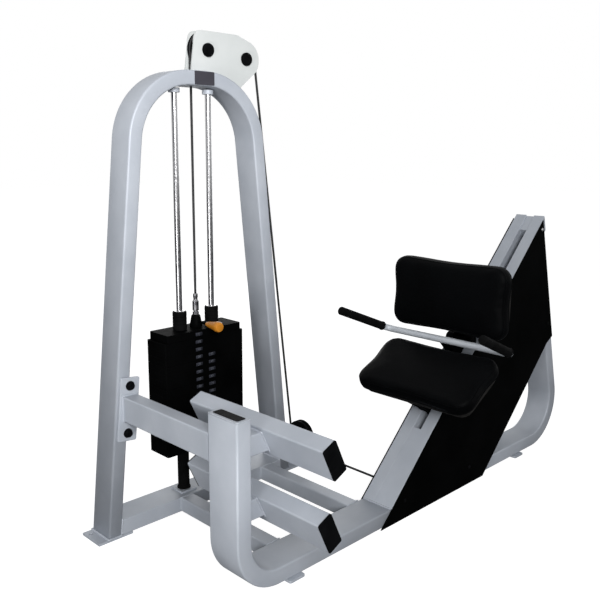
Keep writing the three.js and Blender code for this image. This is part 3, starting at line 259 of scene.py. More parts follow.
def bumpOf(tree, shader, height, strength, distance):
    node = addNode(tree, "ShaderNodeBump", Height=height, Strength=strength, Distance=distance)
    wire(tree, shader, Normal=node.outputs["Normal"])


def clouded(name, form, low, high, rough, grain, strength, **sockets):
    # slightly uneven colour and gloss over a fine grain
    material, tree, shader, place = principled(name)
    cloudy = ramp(tree, noiseOn(tree, place, form["cloud"], form["detail"]), low, high)
    gloss = spanOf(tree, noiseOn(tree, place, form["gloss"]), rough, form["glossSpan"])
    wire(tree, shader, Base_Color=cloudy, Roughness=gloss, **sockets)
    bumpOf(tree, shader, noiseOn(tree, place, grain, 2.0), strength, form["depth"])
    return material


def powderPaint(name, low, high, metal, rough, coat, specular=0.4, ior=1.5):
    # baked powder paint with faint orange peel and soft clear gloss
    return clouded(name, paint, low, high, rough, paint["peel"], paint["strength"], Metallic=metal,
                   Coat_Weight=coat, Coat_Roughness=paint["coatRough"], Specular_IOR_Level=specular, IOR=ior)


def mouldedPlastic(name, low, high, rough, grain=900.0, strength=0.12, specular=0.3, ior=1.11):
    return clouded(name, plastic, low, high, rough, grain, strength, Specular_IOR_Level=specular, IOR=ior)


def cover(tree, shader, look, shade, height, rough):
    # colour, gloss and relief that follow a pattern
    bumpOf(tree, shader, height, look["strength"], look["depth"])
    wire(tree, shader, Base_Color=ramp(tree, shade, look["low"], look["high"]), Roughness=rough,
         Specular_IOR_Level=look["specular"])


def paddedVinyl(name):
    # black upholstery vinyl: pebbled grain with fine creases
    material, tree, shader, place = principled(name)
    cells = addNode(tree, "ShaderNodeTexVoronoi", Vector=place, Scale=vinyl["cells"])
    cells.feature = "DISTANCE_TO_EDGE"
    creases = noiseOn(tree, place, vinyl["creases"], 6.0, 0.6)
    height = mathOf(tree, "MULTIPLY_ADD", creases, vinyl["creaseShare"], cells.outputs["Distance"])
    cloudy, gloss = noiseOn(tree, place, vinyl["cloud"], 4.0), spanOf(tree, creases, 1, vinyl["rough"])
    cover(tree, shader, vinyl, cloudy, height, gloss)
    wire(tree, shader, IOR=vinyl["ior"])
    return material


def brightMetal(name, low, high, rough):
    # polished or drawn metal with faint rings round the bar
    material, tree, shader, place = principled(name)
    lines = grainOn(tree, place, drawn["grain"], drawn["scale"], 2.0)
    wire(tree, shader, Base_Color=ramp(tree, lines, low, high), Metallic=1.0,
         Roughness=spanOf(tree, lines, rough, drawn["glossSpan"]))
    return material


def cableSheath(name):
    # dark sleeve over twisted wire: the strands show as a fine slanting ripple
    material, tree, shader, place = principled(name)
    wave = addNode(tree, "ShaderNodeTexWave", Vector=place, Scale=sheath["strands"],
                   Distortion=sheath["distortion"])
    wave.bands_direction = "DIAGONAL"
    cover(tree, shader, sheath, wave.outputs["Fac"], wave.outputs["Fac"], sheath["rough"])
    return material


def blackBoard(name):
    material, tree, shader, place = principled(name)
    grain = grainOn(tree, place, board["grain"], board["scale"], 5.0)
    cover(tree, shader, board, grain, grain, board["rough"])
    return material


finishes = {
    "frame_paint": powderPaint("silverPaint", (0.415, 0.445, 0.495), (0.465, 0.495, 0.545), metal=0.1,
                               rough=0.46, coat=0.0, specular=0.3),
    "bracket_paint": powderPaint("palePaint", (0.60, 0.625, 0.62), (0.65, 0.67, 0.665), metal=0.0, rough=0.36,
                                 coat=0.2),
    "black_paint": powderPaint("blackPaint", (0.0008, 0.0009, 0.0009), (0.0018, 0.0019, 0.0020), metal=0.0,
                               rough=0.5, coat=0.0, specular=0.2, ior=1.08),
    "black_plastic": mouldedPlastic("blackPlastic", (0.0020, 0.0021, 0.0025), (0.0040, 0.0042, 0.0048), 0.5),
    "black_rubber": mouldedPlastic("blackRubber", (0.0022, 0.0023, 0.0024), (0.0045, 0.0046, 0.0048), 0.7,
                                   grain=500.0, strength=0.3, specular=0.4),
    "black_vinyl": paddedVinyl("blackVinyl"),
    "bright_chrome": brightMetal("brightChrome", (0.40, 0.40, 0.41), (0.46, 0.46, 0.47), 0.2),
    "cable_steel": cableSheath("cableSheath"),
    "knob_plastic": mouldedPlastic("knobPlastic", (0.44, 0.165, 0.012), (0.52, 0.2, 0.02), 0.32, grain=300.0,
                                   strength=0.05, specular=0.4, ior=1.45),
    "board_black": blackBoard("blackBoard"),
}
slotOf = {part["node"]: part["material_slot"] for part in frame["record"]["subparts"]}
bodyOf = {node: body for body, held in frame["record"]["behaviour"]["bodies"].items() for node in held}


# shared steps

edges = {"weld": 0.00002, "merge": 0.00001, "width": 0.0009, "segments": 2, "angle": 32, "normalWeight": 60}


def merged(bm, dist=tiny):
    bmesh.ops.remove_doubles(bm, verts=bm.verts[:], dist=dist)


def moved(bm, place):
    bmesh.ops.transform(bm, matrix=place, verts=bm.verts[:])


def smoothed(mesh):
    for face in mesh.polygons:
        face.use_smooth = True


def evaluated(obj):
    graph = bpy.context.evaluated_depsgraph_get()
    return bpy.data.meshes.new_from_object(obj.evaluated_get(graph), depsgraph=graph)


def meshOfCurve(curve):
    # bmesh of a curve or a text, which is removed
    holder = placed("held", curve)
    mesh = evaluated(holder)
    bpy.data.objects.remove(holder)
    bpy.data.curves.remove(curve)
    bm = bmesh.new()
    bm.from_mesh(mesh)
    bpy.data.meshes.remove(mesh)
    return bm


def softEdges(obj, width=edges["width"], weld=False):
    if weld:
        merge = obj.modifiers.new("weld", "WELD")
        merge.merge_threshold = edges["weld"]
    bevel = obj.modifiers.new("edges", "BEVEL")
    bevel.width = width
    bevel.segments = edges["segments"]
    bevel.limit_method = "ANGLE"
    bevel.angle_limit = math.radians(edges["angle"])
    bevel.use_clamp_overlap = True
    normals = obj.modifiers.new("normals", "WEIGHTED_NORMAL")
    normals.weight = edges["normalWeight"]
    normals.keep_sharp = False
    smoothed(obj.data)


def finishPiece(name, bm, body, slot, replaced=(), width=None, finish=None):
    merged(bm, edges["merge"])
    bmesh.ops.recalc_face_normals(bm, faces=bm.faces[:])
    obj = meshObject(name, bm)
    obj.data.materials.append(finish or finishes[slot])
    if width:
        softEdges(obj, width)
    else:
        smoothed(obj.data)
    if body:
        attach(obj, body)
    if replaced:
        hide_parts(*replaced)
    return obj


def vertsOf(geom):
    return [g for g in geom if isinstance(g, bmesh.types.BMVert)]


def ringEdges(verts):
    held = set(verts)
    return [edge for edge in {e for v in verts for e in v.link_edges} if all(v in held for v in edge.verts)]


def cut(bm, geom, offset, affect, segments=4):
    bmesh.ops.bevel(bm, geom=geom, offset=offset, offset_type="OFFSET", segments=segments, profile=0.5,
                    affect=affect, material=-1)


def roundedFace(bm, width, height, corner):
    # one face round the origin of an empty bmesh
    bmesh.ops.create_grid(bm, x_segments=1, y_segments=1, size=0.5)
    bmesh.ops.scale(bm, vec=(width, height, 1), verts=bm.verts[:])
    cut(bm, bm.verts[:], corner, "VERTICES")


def sectionRing(bm, thickness, width, corner, place):
    # first ring of a tube in an empty bmesh: x is the thickness, y the width
    roundedFace(bm, thickness, width, corner)
    bmesh.ops.delete(bm, geom=bm.faces[:], context="FACES_ONLY")
    moved(bm, place)
    return bm.edges[:]


def runOn(bm, ring, way):
    verts = vertsOf(bmesh.ops.extrude_edge_only(bm, edges=ring)["geom"])
    bmesh.ops.translate(bm, vec=way, verts=verts)
    return ringEdges(verts)


def bendOn(bm, ring, centre, angle, steps):
    # round the Y axis through the centre; a positive angle turns +Z towards +X
    verts = list({v for e in ring for v in e.verts})
    out = bmesh.ops.spin(bm, geom=verts + ring, cent=centre, axis=(0, 1, 0), dvec=(0, 0, 0),
                         angle=angle, steps=steps, use_duplicate=False)["geom_last"]
    return ringEdges(vertsOf(out))


def capEnds(bm):
    bmesh.ops.holes_fill(bm, edges=[e for e in bm.edges if e.is_boundary], sides=0)


def raised(bm, height):
    # faces in the XY plane made into a plate
    out = bmesh.ops.extrude_face_region(bm, geom=bm.faces[:])["geom"]
    bmesh.ops.translate(bm, vec=(0, 0, height), verts=vertsOf(out))


def sliceOff(bm, point, normal):
    # takes away what lies on the normal's side
    geom = bm.verts[:] + bm.edges[:] + bm.faces[:]
    bmesh.ops.bisect_plane(bm, geom=geom, dist=tiny, plane_co=point, plane_no=normal, clear_outer=True,
                           clear_inner=False)


def frameAt(point, way):
    # section matrix in the XZ plane: z runs along the way, y stays Y
    z = Vector(way).normalized()
    turn = Matrix((alongY.cross(z), alongY, z)).transposed().to_4x4()
    return Matrix.Translation(point) @ turn


def axisTurn(axis, place):
    turns = {"z": Matrix.Identity(4), "x": Matrix.Rotation(math.pi / 2, 4, "Y"),
             "y": Matrix.Rotation(-math.pi / 2, 4, "X")}
    return Matrix.Translation(place) @ (turns[axis] if isinstance(axis, str) else axis)


def turnedMesh(profile, place, axis, steps):
    # profile points are (radius, distance along the axis), in millimetres
    bm = bmesh.new()
    last = None
    for radius, along in profile:
        vert = bm.verts.new((radius * mm, 0, along * mm))
        if last:
            bm.edges.new((last, vert))
        last = vert
    if profile[0] == profile[-1]:
        merged(bm)
    bmesh.ops.spin(bm, geom=bm.verts[:] + bm.edges[:], cent=(0, 0, 0), axis=(0, 0, 1), dvec=(0, 0, 0),
                   angle=2 * math.pi, steps=steps, use_merge=True, use_duplicate=False)
    moved(bm, axisTurn(axis, place))
    merged(bm)
    bmesh.ops.recalc_face_normals(bm, faces=bm.faces[:])
    return bm


def turnedPiece(name, profile, place, axis, body, slot, replaced=(), steps=48, width=0.0005):
    return finishPiece(name, turnedMesh(profile, place, axis, steps), body, slot, replaced, width=width)


def barProfile(radius, low, high):
    return [(0, low), (radius, low), (radius, high), (0, high)]


def flipped(profile):
    return [(radius, -along) for radius, along in profile]


def mirrored(half):
    # the profile goes on with its own mirror image below zero
    return half + flipped(half[-2::-1])


def bothSides(profile, place, steps):
    return [turnedMesh(side, place, "y", steps) for side in (flipped(profile), profile)]


def gathered(meshes):
    # several closed meshes in one bmesh
    whole = bmesh.new()
    for part in meshes:
        held = bpy.data.meshes.new("held")
        part.to_mesh(held)
        part.free()
        whole.from_mesh(held)
        bpy.data.meshes.remove(held)
    return whole


def tubeMesh(routes, radius, closed=False, rings=5, swell=None):
    # round tubes along point routes; swell gives each point's share of the radius
    curve = bpy.data.curves.new("route", "CURVE")
    curve.dimensions = "3D"
    curve.bevel_depth = radius
    curve.bevel_resolution = rings
    curve.use_fill_caps = not closed
    for route in routes:
        spline = curve.splines.new("POLY")
        spline.points.add(len(route) - 1)
        for index, (point, place) in enumerate(zip(spline.points, route)):
            point.co = (*place, 1)
            point.radius = swell(index) if swell else 1
        spline.use_cyclic_u = closed
        spline.use_smooth = True
    bm = meshOfCurve(curve)
    merged(bm)
    return bm


def arcRoute(centre, radius, first, second, start, stop, steps):
    # first and second are the unit directions of the arc's plane
    angles = [start + (stop - start) * k / steps for k in range(steps + 1)]
    return [centre + radius * (math.cos(angle) * first + math.sin(angle) * second) for angle in angles]


def evenRoute(route, step, closed=False):
    # the same path with points a step apart
    corners = [Vector(place) for place in route]
    if closed:
        corners.append(corners[0])
    out = []
    for before, after in zip(corners, corners[1:]):
        count = max(1, round((after - before).length / step))
        out += [before.lerp(after, k / count) for k in range(count)]
    return out if closed else out + [corners[-1]]


# bent tubes of the frame

tower = {
    "middle": 114 * mm, "depth": 100 * mm, "thickness": 45 * mm, "height": 1433 * mm, "footHalf": 388 * mm,
    "slope": 0.1033, "bendRadius": 207.5 * mm, "corner": 6 * mm, "bendSteps": 40, "floor": 8 * mm,
    "y": 532 * mm, "spare": 20 * mm,
}
beam = {
    "width": 120 * mm, "thickness": 50 * mm, "postX": -185 * mm, "postTop": 515 * mm, "bendRadius": 130 * mm,
    "low": 33 * mm, "end": 910 * mm, "corner": 6 * mm, "bendSteps": 28,
}
rail = {"angle": math.radians(45), "foot": 375}  # foot: where its front face meets the floor, in millimetres
leg = {
    "width": 100 * mm, "thickness": 50 * mm, "lean": math.radians(16.4), "topX": 1328 * mm, "topZ": 950 * mm,
    "bendRadius": 150 * mm, "railDepth": 50.3 * mm, "padX": 1250 * mm, "gap": 0.3 * mm,
}
pad = {"length": 60 * mm, "over": 12 * mm, "height": 7.7 * mm, "corner": 6 * mm, "edge": 0.0008}
postTop = {"rim": 9 * mm, "corner": 6 * mm, "rise": 1.2 * mm, "gap": 0.3 * mm, "lift": 0.1 * mm,
           "rimEdge": 0.0012, "insertEdge": 0.0005}


def onRail(along, across, outward):
    # millimetres along the rail, across it and outward from its front face
    c = math.cos(rail["angle"])
    return Vector((rail["foot"] + (along - outward) * c, across, (along + outward) * c)) * mm


def floorPlate(name, x, tubeWidth):
    bm = bmesh.new()
    bmesh.ops.create_cube(bm, size=1)
    bmesh.ops.scale(bm, vec=(pad["length"], tubeWidth + 2 * pad["over"], pad["height"]), verts=bm.verts[:])
    cut(bm, [e for e in bm.edges if abs(e.verts[0].co.z - e.verts[1].co.z) > mm], pad["corner"], "EDGES")
    bmesh.ops.translate(bm, vec=(x, 0, pad["height"] / 2), verts=bm.verts[:])
    return finishPiece(name, bm, "root", "frame_paint", width=pad["edge"])


def makeTower():
    lean = math.atan(tower["slope"])
    bend = math.pi / 2 - lean
    shift = tower["thickness"] / 2 / math.cos(lean)
    crown = tower["height"] - tower["thickness"] / 2
    radius = tower["bendRadius"]
    half = tower["footHalf"] - tower["slope"] * crown - shift
    centreHalf = half - radius * math.tan(bend / 2)
    up = Vector((math.sin(lean), 0, math.cos(lean)))
    left = Vector((tower["middle"] - centreHalf, tower["y"], crown - radius))
    right = Vector((tower["middle"] + centreHalf, tower["y"], crown - radius))
    start = left + radius * Vector((-math.cos(lean), 0, math.sin(lean)))
    legRun = (start.z + tower["spare"]) / up.z
    bm = bmesh.new()
    foot = frameAt(start - up * legRun, up)
    ring = sectionRing(bm, tower["thickness"], tower["depth"], tower["corner"], foot)
    ring = runOn(bm, ring, up * legRun)
    ring = bendOn(bm, ring, left, bend, tower["bendSteps"])
    ring = runOn(bm, ring, right - left)
    ring = bendOn(bm, ring, right, bend, tower["bendSteps"])
    runOn(bm, ring, Vector((up.x, 0, -up.z)) * legRun)
    sliceOff(bm, (0, 0, tower["floor"]), (0, 0, -1))
    capEnds(bm)
    finishPiece("tower_arch", bm, "root", "frame_paint", ["tower_frame"])


def makeMainBeam():
    bm = bmesh.new()
    top = Vector((beam["postX"], 0, beam["postTop"]))
    centre = Vector((beam["postX"] + beam["bendRadius"], 0, beam["low"] + beam["bendRadius"]))
    ring = sectionRing(bm, beam["thickness"], beam["width"], beam["corner"], frameAt(top, -alongZ))
    ring = runOn(bm, ring, alongZ * (centre.z - top.z))
    ring = bendOn(bm, ring, centre, -math.pi / 2, beam["bendSteps"])
    runOn(bm, ring, alongX * (beam["end"] - centre.x))
    capEnds(bm)
    finishPiece("floor_beam", bm, "root", "frame_paint", ["main_beam"])
    floorPlate("front_floor_pad", 0, beam["width"])


def makeRearLeg():
    lean, radius = leg["lean"], leg["bendRadius"]
    slope = math.tan(lean)
    atZero = leg["topX"] + leg["topZ"] * slope - leg["thickness"] / 2 / math.cos(lean)
    centreZ = beam["low"] + radius
    touchZ = centreZ + radius * math.sin(lean)
    centreX = atZero - slope * touchZ - radius * math.cos(lean)
    start = Vector((beam["end"] + leg["gap"], 0, beam["low"]))
    bm = bmesh.new()
    ring = sectionRing(bm, leg["thickness"], leg["width"], beam["corner"], frameAt(start, alongX))
    ring = runOn(bm, ring, alongX * (centreX - start.x))
    ring = bendOn(bm, ring, Vector((centreX, 0, centreZ)), -(math.pi / 2 + lean), beam["bendSteps"])
    up = Vector((-math.sin(lean), 0, math.cos(lean)))
    runOn(bm, ring, up * (leg["topZ"] - touchZ) / up.z)
    face = Vector((-1, 0, 1)).normalized()
    sliceOff(bm, alongX * rail["foot"] * mm - face * leg["railDepth"], face)
    capEnds(bm)
    finishPiece("back_leg", bm, "root", "frame_paint", ["rear_leg"])
    floorPlate("rear_floor_pad", leg["padX"], leg["width"])


def upright(thickness, width, corner, foot, top):
    bm = bmesh.new()
    ring = sectionRing(bm, thickness, width, corner, frameAt(foot, alongZ))
    runOn(bm, ring, alongZ * (top - foot.z))
    capEnds(bm)
    return bm


def makePostTop():
    # the post's painted rim with the black insert inside it
    low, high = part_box("post_cap")
    middle = Vector(((low.x + high.x) / 2, (low.y + high.y) / 2, 0))
    shelf = high.z - postTop["rise"]
    thickness, width, inset = beam["thickness"], beam["width"], 2 * postTop["rim"]
    foot = middle + alongZ * (beam["postTop"] + postTop["gap"])
    rim = upright(thickness, width, beam["corner"], foot, shelf)
    finishPiece("post_rim", rim, "root", "frame_paint", ["post_cap"], width=postTop["rimEdge"])
    insert = upright(thickness - inset, width - inset, postTop["corner"],
                     middle + alongZ * (shelf + postTop["lift"]), high.z)
    finishPiece("post_insert", insert, "root", "black_plastic", width=postTop["insertEdge"])


makeTower()
makeMainBeam()
makePostTop()
makeRearLeg()
print("bent tubes are made")


# welds, in millimetres

weld = {"radius": 3.2, "step": 2.6, "ripple": 0.14, "pace": 2.1}
weldBoxes = [  # direction that the box is square to, level on it, low and high corner
    ("y", 473.2, (-210.6, 379.4), (-159.4, 460.6)),  # link beam on its flange
    ("x", -159.2, (-40.6, 402.4), (40.6, 463.6)),  # upper stub on the post
    ("x", -159.2, (-40.6, 220.4), (40.6, 281.6)),  # lower stub on the post
    ("z", 8.4, (-274, 481.4), (-228, 582.6)),  # left leg on its foot plate
    ("z", 8.4, (456, 481.4), (502, 582.6)),  # right leg on its foot plate
]
footBars = {  # each bar's middle x and z, and the middle z of its stub
    "bars": ((-70.5, 442, 433), (-84, 252, 251)), "tilt": math.radians(25.5), "half": 25,
    "stubAcross": 40.6, "stubHigh": 30.6,
}
crossTubes = {"x": ((0, 50), (356, 406)), "y": (60.5, 481.5), "z": (12, 57)}
baseBar = {"middle": 114, "footHalf": 341.8, "topHalf": 336.7, "y": (484, 580), "z": (10, 58)}
railFeet = {"x": (433.3, 504.1), "half": 57, "z": 58.6}
bracket = {"y": (510.2, 553.8), "x": (104, 146), "z": 1433, "arcX": 146.5, "arcZ": 1203, "arcRadius": 230.3,
           "out": 0.1, "arcEnd": 290, "steps": 20}


def boxRoute(axis, level, low, high):
    # rectangle in the plane square to the axis
    (u0, v0), (u1, v1) = low, high
    route = [list(corner) for corner in ((u0, v0), (u1, v0), (u1, v1), (u0, v1))]
    for corner in route:
        corner.insert("xyz".index(axis), level)
    return route


def stubRoute(x, z, stubZ):
    # outline of a stub on the tilted foot bar
    tilt, half, across, high = (footBars[key] for key in ("tilt", "half", "stubAcross", "stubHigh"))
    ring = []
    for side, edgeZ in ((-1, stubZ - high), (1, stubZ - high), (1, stubZ + high), (-1, stubZ + high)):
        slide = (edgeZ - z + half * math.sin(tilt)) / math.cos(tilt)
        ring.append((x - half * math.cos(tilt) - slide * math.sin(tilt), side * across, edgeZ))
    return ring


def openRoutes():
    routes = []
    low, high = crossTubes["z"]
    for x0, x1 in crossTubes["x"]:
        for y in crossTubes["y"]:
            routes.append([(x0, y, low), (x0, y, high), (x1, y, high), (x1, y, low)])
    (near, far), (low, high) = baseBar["y"], baseBar["z"]
    for side in (-1, 1):
        foot, top = (baseBar["middle"] + side * baseBar[key] for key in ("footHalf", "topHalf"))
        routes.append([(foot, near, low), (top, near, high), (top, far, high), (foot, far, low)])
    for x in railFeet["x"]:
        routes.append([(x, y, railFeet["z"]) for y in (-railFeet["half"], railFeet["half"])])
    radius = bracket["arcRadius"]
    stop = math.acos((bracket["arcEnd"] - bracket["arcX"]) / radius)
    for y in bracket["y"]:  # along the crown and down its shoulder
        routes.append([(x, y, bracket["z"]) for x in bracket["x"]] +
                      arcRoute(Vector((bracket["arcX"], y, bracket["arcZ"])), radius + bracket["out"], alongX,
                               alongZ, math.pi / 2, stop, bracket["steps"]))
    return routes


def beadSwell(index):
    return 1 + weld["ripple"] * math.cos(index * weld["pace"])


def makeWelds():
    closed = [boxRoute(*box) for box in weldBoxes] + [stubRoute(*bar) for bar in footBars["bars"]]
    beads = []
    for routes, ring in ((closed, True), (openRoutes(), False)):
        places = [[Vector(place) * mm for place in route] for route in routes]
        even = [evenRoute(route, weld["step"] * mm, ring) for route in places]
        beads.append(tubeMesh(even, weld["radius"] * mm, ring, 1, beadSwell))
    finishPiece("weld_beads", gathered(beads), "root", "frame_paint")


makeWelds()
print("welds are made")


# tower: rods, stack fittings, pulleys and cable, in millimetres
# the points of a profile are (radius, place along the axis)

rod = {"radius": 9.5, "low": 64.3, "xs": (48.5, 179.5), "steps": 40}
collar = {"points": ((9.6, -14), (17, -14), (18, -13), (18, -0.1), (9.6, -0.1), (9.6, -14))}  # from the top
bumper = {"foot": [(11, 616.3), (22, 616.3), (23, 617.3)], "grooves": (634.9, 647.3, 659.7),
          "groove": ((23, -1.6), (22.1, -0.8), (22.1, 0.8), (23, 1.6)),
          "head": [(23, 674.3), (21.8, 677.1), (19, 678.3), (11, 678.3), (11, 616.3)]}
aroundRods = {  # body, slot, node and profile
    "bumper": ("lifted_stack", "black_rubber", "rod_bumper", bumper["foot"] + [
        (radius, level + rise) for level in bumper["grooves"] for radius, rise in bumper["groove"]
    ] + bumper["head"]),
    "bumper_ring": ("lifted_stack", "bright_chrome", None,
                    ((11, 678.2), (18, 678.2), (17.4, 679.5), (11, 679.5), (11, 678.2))),
    "pedestal": ("root", "black_rubber", "stack_pedestal", (
        (11, 64.3), (22.5, 64.3), (22.5, 69.3), (19.5, 72.3), (19.5, 192.7), (24, 195.7), (26, 197.7),
        (26, 207.7), (24, 209.7), (11, 209.7), (11, 64.3))),
}


def onTower(x, z=0):
    # place in the tower's middle plane
    return Vector((x * mm, tower["y"], z * mm))


def makeRods():
    for number, x in enumerate(rod["xs"], 1):
        place = onTower(x)
        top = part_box(f"guide_rod_{number}")[1].z / mm
        turnedPiece(f"rod_{number}", barProfile(rod["radius"], rod["low"], top), place, "z", "root",
                    "bright_chrome", [f"guide_rod_{number}"], rod["steps"])
        points = [(radius, top + rise) for radius, rise in collar["points"]]
        turnedPiece(f"rod_collar_{number}", points, place, "z", "root", "frame_paint", (), rod["steps"])
        for name, (body, slot, node, points) in aroundRods.items():
            replaced = [f"{node}_{number}"] if node else ()
            turnedPiece(f"{name}_{number}", points, place, "z", body, slot, replaced)


stem = {"points": ((0, 222), (12, 222), (12, 616.3), (21, 616.3), (21, 626.3), (19.5, 629.3), (15, 653.3),
                   (13, 656.3), (0, 656.3))}
fitting = {
    "points": ((0, 670.6), (9.5, 670.6), (10.5, 671.6), (10.5, 702.6), (9, 704.6), (7, 706.6), (7, 714.6),
               (8, 716.6), (8, 726.6), (6, 728.6), (0, 728.6)),
    "foot": (7, 656.6, 670.8), "nut": (10.5, 657.6, 667.6), "top": 728.6, "steps": 40, "footSteps": 32,
    "edge": 0.0004, "colors": ((0.10, 0.10, 0.11), (0.26, 0.26, 0.27)), "rough": 0.26,
}
knob = {
    "z": 634.3,
    "points": ((0, 404), (11, 404), (15, 405.5), (17, 410), (17, 420), (15, 428), (10, 460), (7.5, 469),
               (7, 472.5), (5.5, 474), (0, 474)),
    "pin": ((0, 473.5), (4.5, 473.5), (4.5, 534.4), (3, 536.4), (0, 536.4)), "pinSteps": 24,
}
hexNut = {"cut": 0.6, "steps": 2}


def hexMesh(radius, low, high, place, axis):
    bm = bmesh.new()
    bmesh.ops.create_circle(bm, cap_ends=True, segments=6, radius=radius * mm)
    raised(bm, (high - low) * mm)
    bmesh.ops.translate(bm, vec=(0, 0, low * mm), verts=bm.verts[:])
    cut(bm, bm.edges[:], hexNut["cut"] * mm, "EDGES", hexNut["steps"])
    moved(bm, axisTurn(axis, place))
    bmesh.ops.recalc_face_normals(bm, faces=bm.faces[:])
    return bm


def makeStem():
    place = onTower(tower["middle"] / mm)
    turnedPiece("stem_head", stem["points"], place, "z", "lifted_stack", "black_paint", ["selector_stem"])
    parts = [turnedMesh(fitting["points"], place, "z", fitting["steps"]),
             turnedMesh(barProfile(*fitting["foot"]), place, "z", fitting["footSteps"]),
             hexMesh(*fitting["nut"], place, "z")]
    steel = brightMetal("fittingSteel", *fitting["colors"], fitting["rough"])
    finishPiece("cable_end", gathered(parts), "lifted_stack", "bright_chrome", ["cable_fitting"],
                width=fitting["edge"], finish=steel)
    place = Vector((tower["middle"], 0, knob["z"] * mm))
    turnedPiece("pin_knob", knob["points"], place, "y", "pin", "knob_plastic", ["selector_pin"])
    turnedPiece("pin_shaft", knob["pin"], place, "y", "pin", "black_paint", (), knob["pinSteps"])


crownAxles = ((167, 1500), (325, 1485))  # x and z of each
baseAxle = Vector((0.56, 0.479, 0.127))
groove = {"main": 53, "rail": 26, "radius": 4.6, "sink": 4.3, "arc": (75, 50, 25)}
pulleyForm = {
    "crown": [(7.3, 11), (18, 11), (20, 10.5), (21, 4.95), (42, 4.95), (44, 10.5), (45, 11), (56, 11),
              (57, 10), (57, 5.6)],
    "base": [(7.3, 12), (18, 12), (20, 11.5), (21, 5.4), (42, 5.4), (44, 11.5), (45, 12), (56, 12), (57, 11),
             (57, 5.6)],
    "rail": [(6.3, 8), (29, 8), (30, 7), (30, 5.6)],
    "steps": 64, "edge": 0.0004,
}
railTurn = Matrix.Rotation(-rail["angle"], 4, "Y")
pulleys = {  # node, body, axis, groove and form of the side
    "crown_wheel_front": ("crown_pulley_1", "crown_wheel_1", "y", "main", "crown"),
    "crown_wheel_rear": ("crown_pulley_2", "crown_wheel_2", "y", "main", "crown"),
    "floor_wheel": ("base_pulley", "base_wheel", "x", "main", "base"),
    "under_rail_wheel": ("rail_pulley", "rail_wheel", railTurn, "rail", "rail"),
}


def pulleyProfile(reach, side):
    # the side from bore to lip, then the round groove down to the wheel's middle
    bottom, radius = reach - groove["sink"], groove["radius"]
    right = list(side)
    for angle in map(math.radians, groove["arc"]):
        right.append((bottom + radius * (1 - math.cos(angle)), radius * math.sin(angle)))
    right.append((bottom, 0))
    return mirrored(right) + [right[0]]


def makePulleys():
    along = {joint["name"]: joint for joint in frame["joints"]}
    for name, (node, body, axis, reach, form) in pulleys.items():
        place = Vector(along[f"{body}_turn"]["pos_m"])
        turnedPiece(name, pulleyProfile(groove[reach], pulleyForm[form]), place, axis, body, "black_plastic",
                    [node], pulleyForm["steps"], pulleyForm["edge"])


cap = {"points": ((0, 18.8), (20.4, 18.8), (21, 19.4), (21, 25.4), (19.38, 29.18), (15.6, 30.8), (6.5, 30.8),
                  (5.5, 29.4), (0, 29.4)),
       "bolt": (7, -19.8, 19.8), "steps": 48, "boltSteps": 32, "edge": 0.0004}
flangeBolt = {"upper": (-183, 489), "lower": (-197, 341)}
flangeCap = {
    "y": 473.6, "steps": 40, "washer": ((0, 0), (15, 0), (15, -1.6), (14.4, -2.2), (0, -2.2)),
    "dome": ((0, -2), (11.9, -2), (12.5, -2.6), (12.5, -6.95), (11.285, -9.785), (8.45, -11), (6.5, -11),
             (5.5, -9.6), (0, -9.6)),
}


def makeCaps():
    for number, (x, z) in enumerate(crownAxles, 1):
        place = onTower(x, z)
        parts = [turnedMesh(barProfile(*cap["bolt"]), place, "y", cap["boltSteps"])]
        parts += bothSides(cap["points"], place, cap["steps"])
        finishPiece(f"crown_bolt_{number}", gathered(parts), "root", "black_plastic",
                    [f"crown_axle_{number}"], width=cap["edge"])
    for name, (x, z) in flangeBolt.items():
        place = Vector((x, flangeCap["y"], z)) * mm
        parts = [turnedMesh(flangeCap[part], place, "y", flangeCap["steps"]) for part in ("washer", "dome")]
        finishPiece(f"flange_bolt_{name}", gathered(parts), "root", "black_plastic", width=cap["edge"])


cable = {
    "radius": 4, "arcSteps": 24, "below": 20,  # the lift stretch ends this far below the crown
    "towStart": 35, "towEnd": 469.7, "liftStep": 12, "towStep": 8,  # towEnd: along the rail
}


def makeCables():
    r, turn, steps = groove["main"] * mm, groove["rail"], cable["arcSteps"]
    middle, y, radius = tower["middle"], tower["y"], cable["radius"] * mm
    first, second = (onTower(x, z) for x, z in crownAxles)
    across = math.atan2(second.z - first.z, second.x - first.x) + math.pi / 2
    drop = baseAxle - second
    leave = math.atan2(drop.z, drop.x) + math.acos(r / math.hypot(drop.x, drop.z))
    held = tower["height"] - tower["thickness"] - cable["below"] * mm
    low, out, c = (baseAxle.z - r) / mm, baseAxle.x / mm - rail["foot"], math.cos(rail["angle"])
    wheelH, wheelT = (low - out) * c, (out + low) * c + turn
    route = [Vector((middle, y, held))]
    route += arcRoute(first, r, alongX, alongZ, math.pi, across, steps)
    route += arcRoute(second, r, alongX, alongZ, across, leave, steps)
    route += arcRoute(baseAxle, r, alongY, alongZ, 0, -math.pi / 2, steps)
    for k in range(steps + 1):
        angle = math.pi / 2 * k / steps
        route.append(onRail(wheelT - turn * math.cos(angle), turn * (1 - math.sin(angle)), wheelH))
    tow = onRail(wheelT + cable["towStart"], 0, wheelH)
    route.append(tow)
    finishPiece("cable_guided", tubeMesh([route], radius), "root", "cable_steel", ["cable_main_run"])

    foot = fitting["top"] * mm
    liftRoute = evenRoute([(middle, y, foot), (middle, y, held)], cable["liftStep"] * mm)
    lift = finishPiece("cable_lift", tubeMesh([liftRoute], radius), None, "cable_steel")
    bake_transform(lift)
    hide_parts("cable_stack_run")
    end = onRail(cable["towEnd"], 0, wheelH)
    towRoute = evenRoute([tow, end], cable["towStep"] * mm)
    pull = finishPiece("cable_tow", tubeMesh([towRoute], radius), None, "cable_steel")
    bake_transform(pull)
    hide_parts("cable_carriage_run")


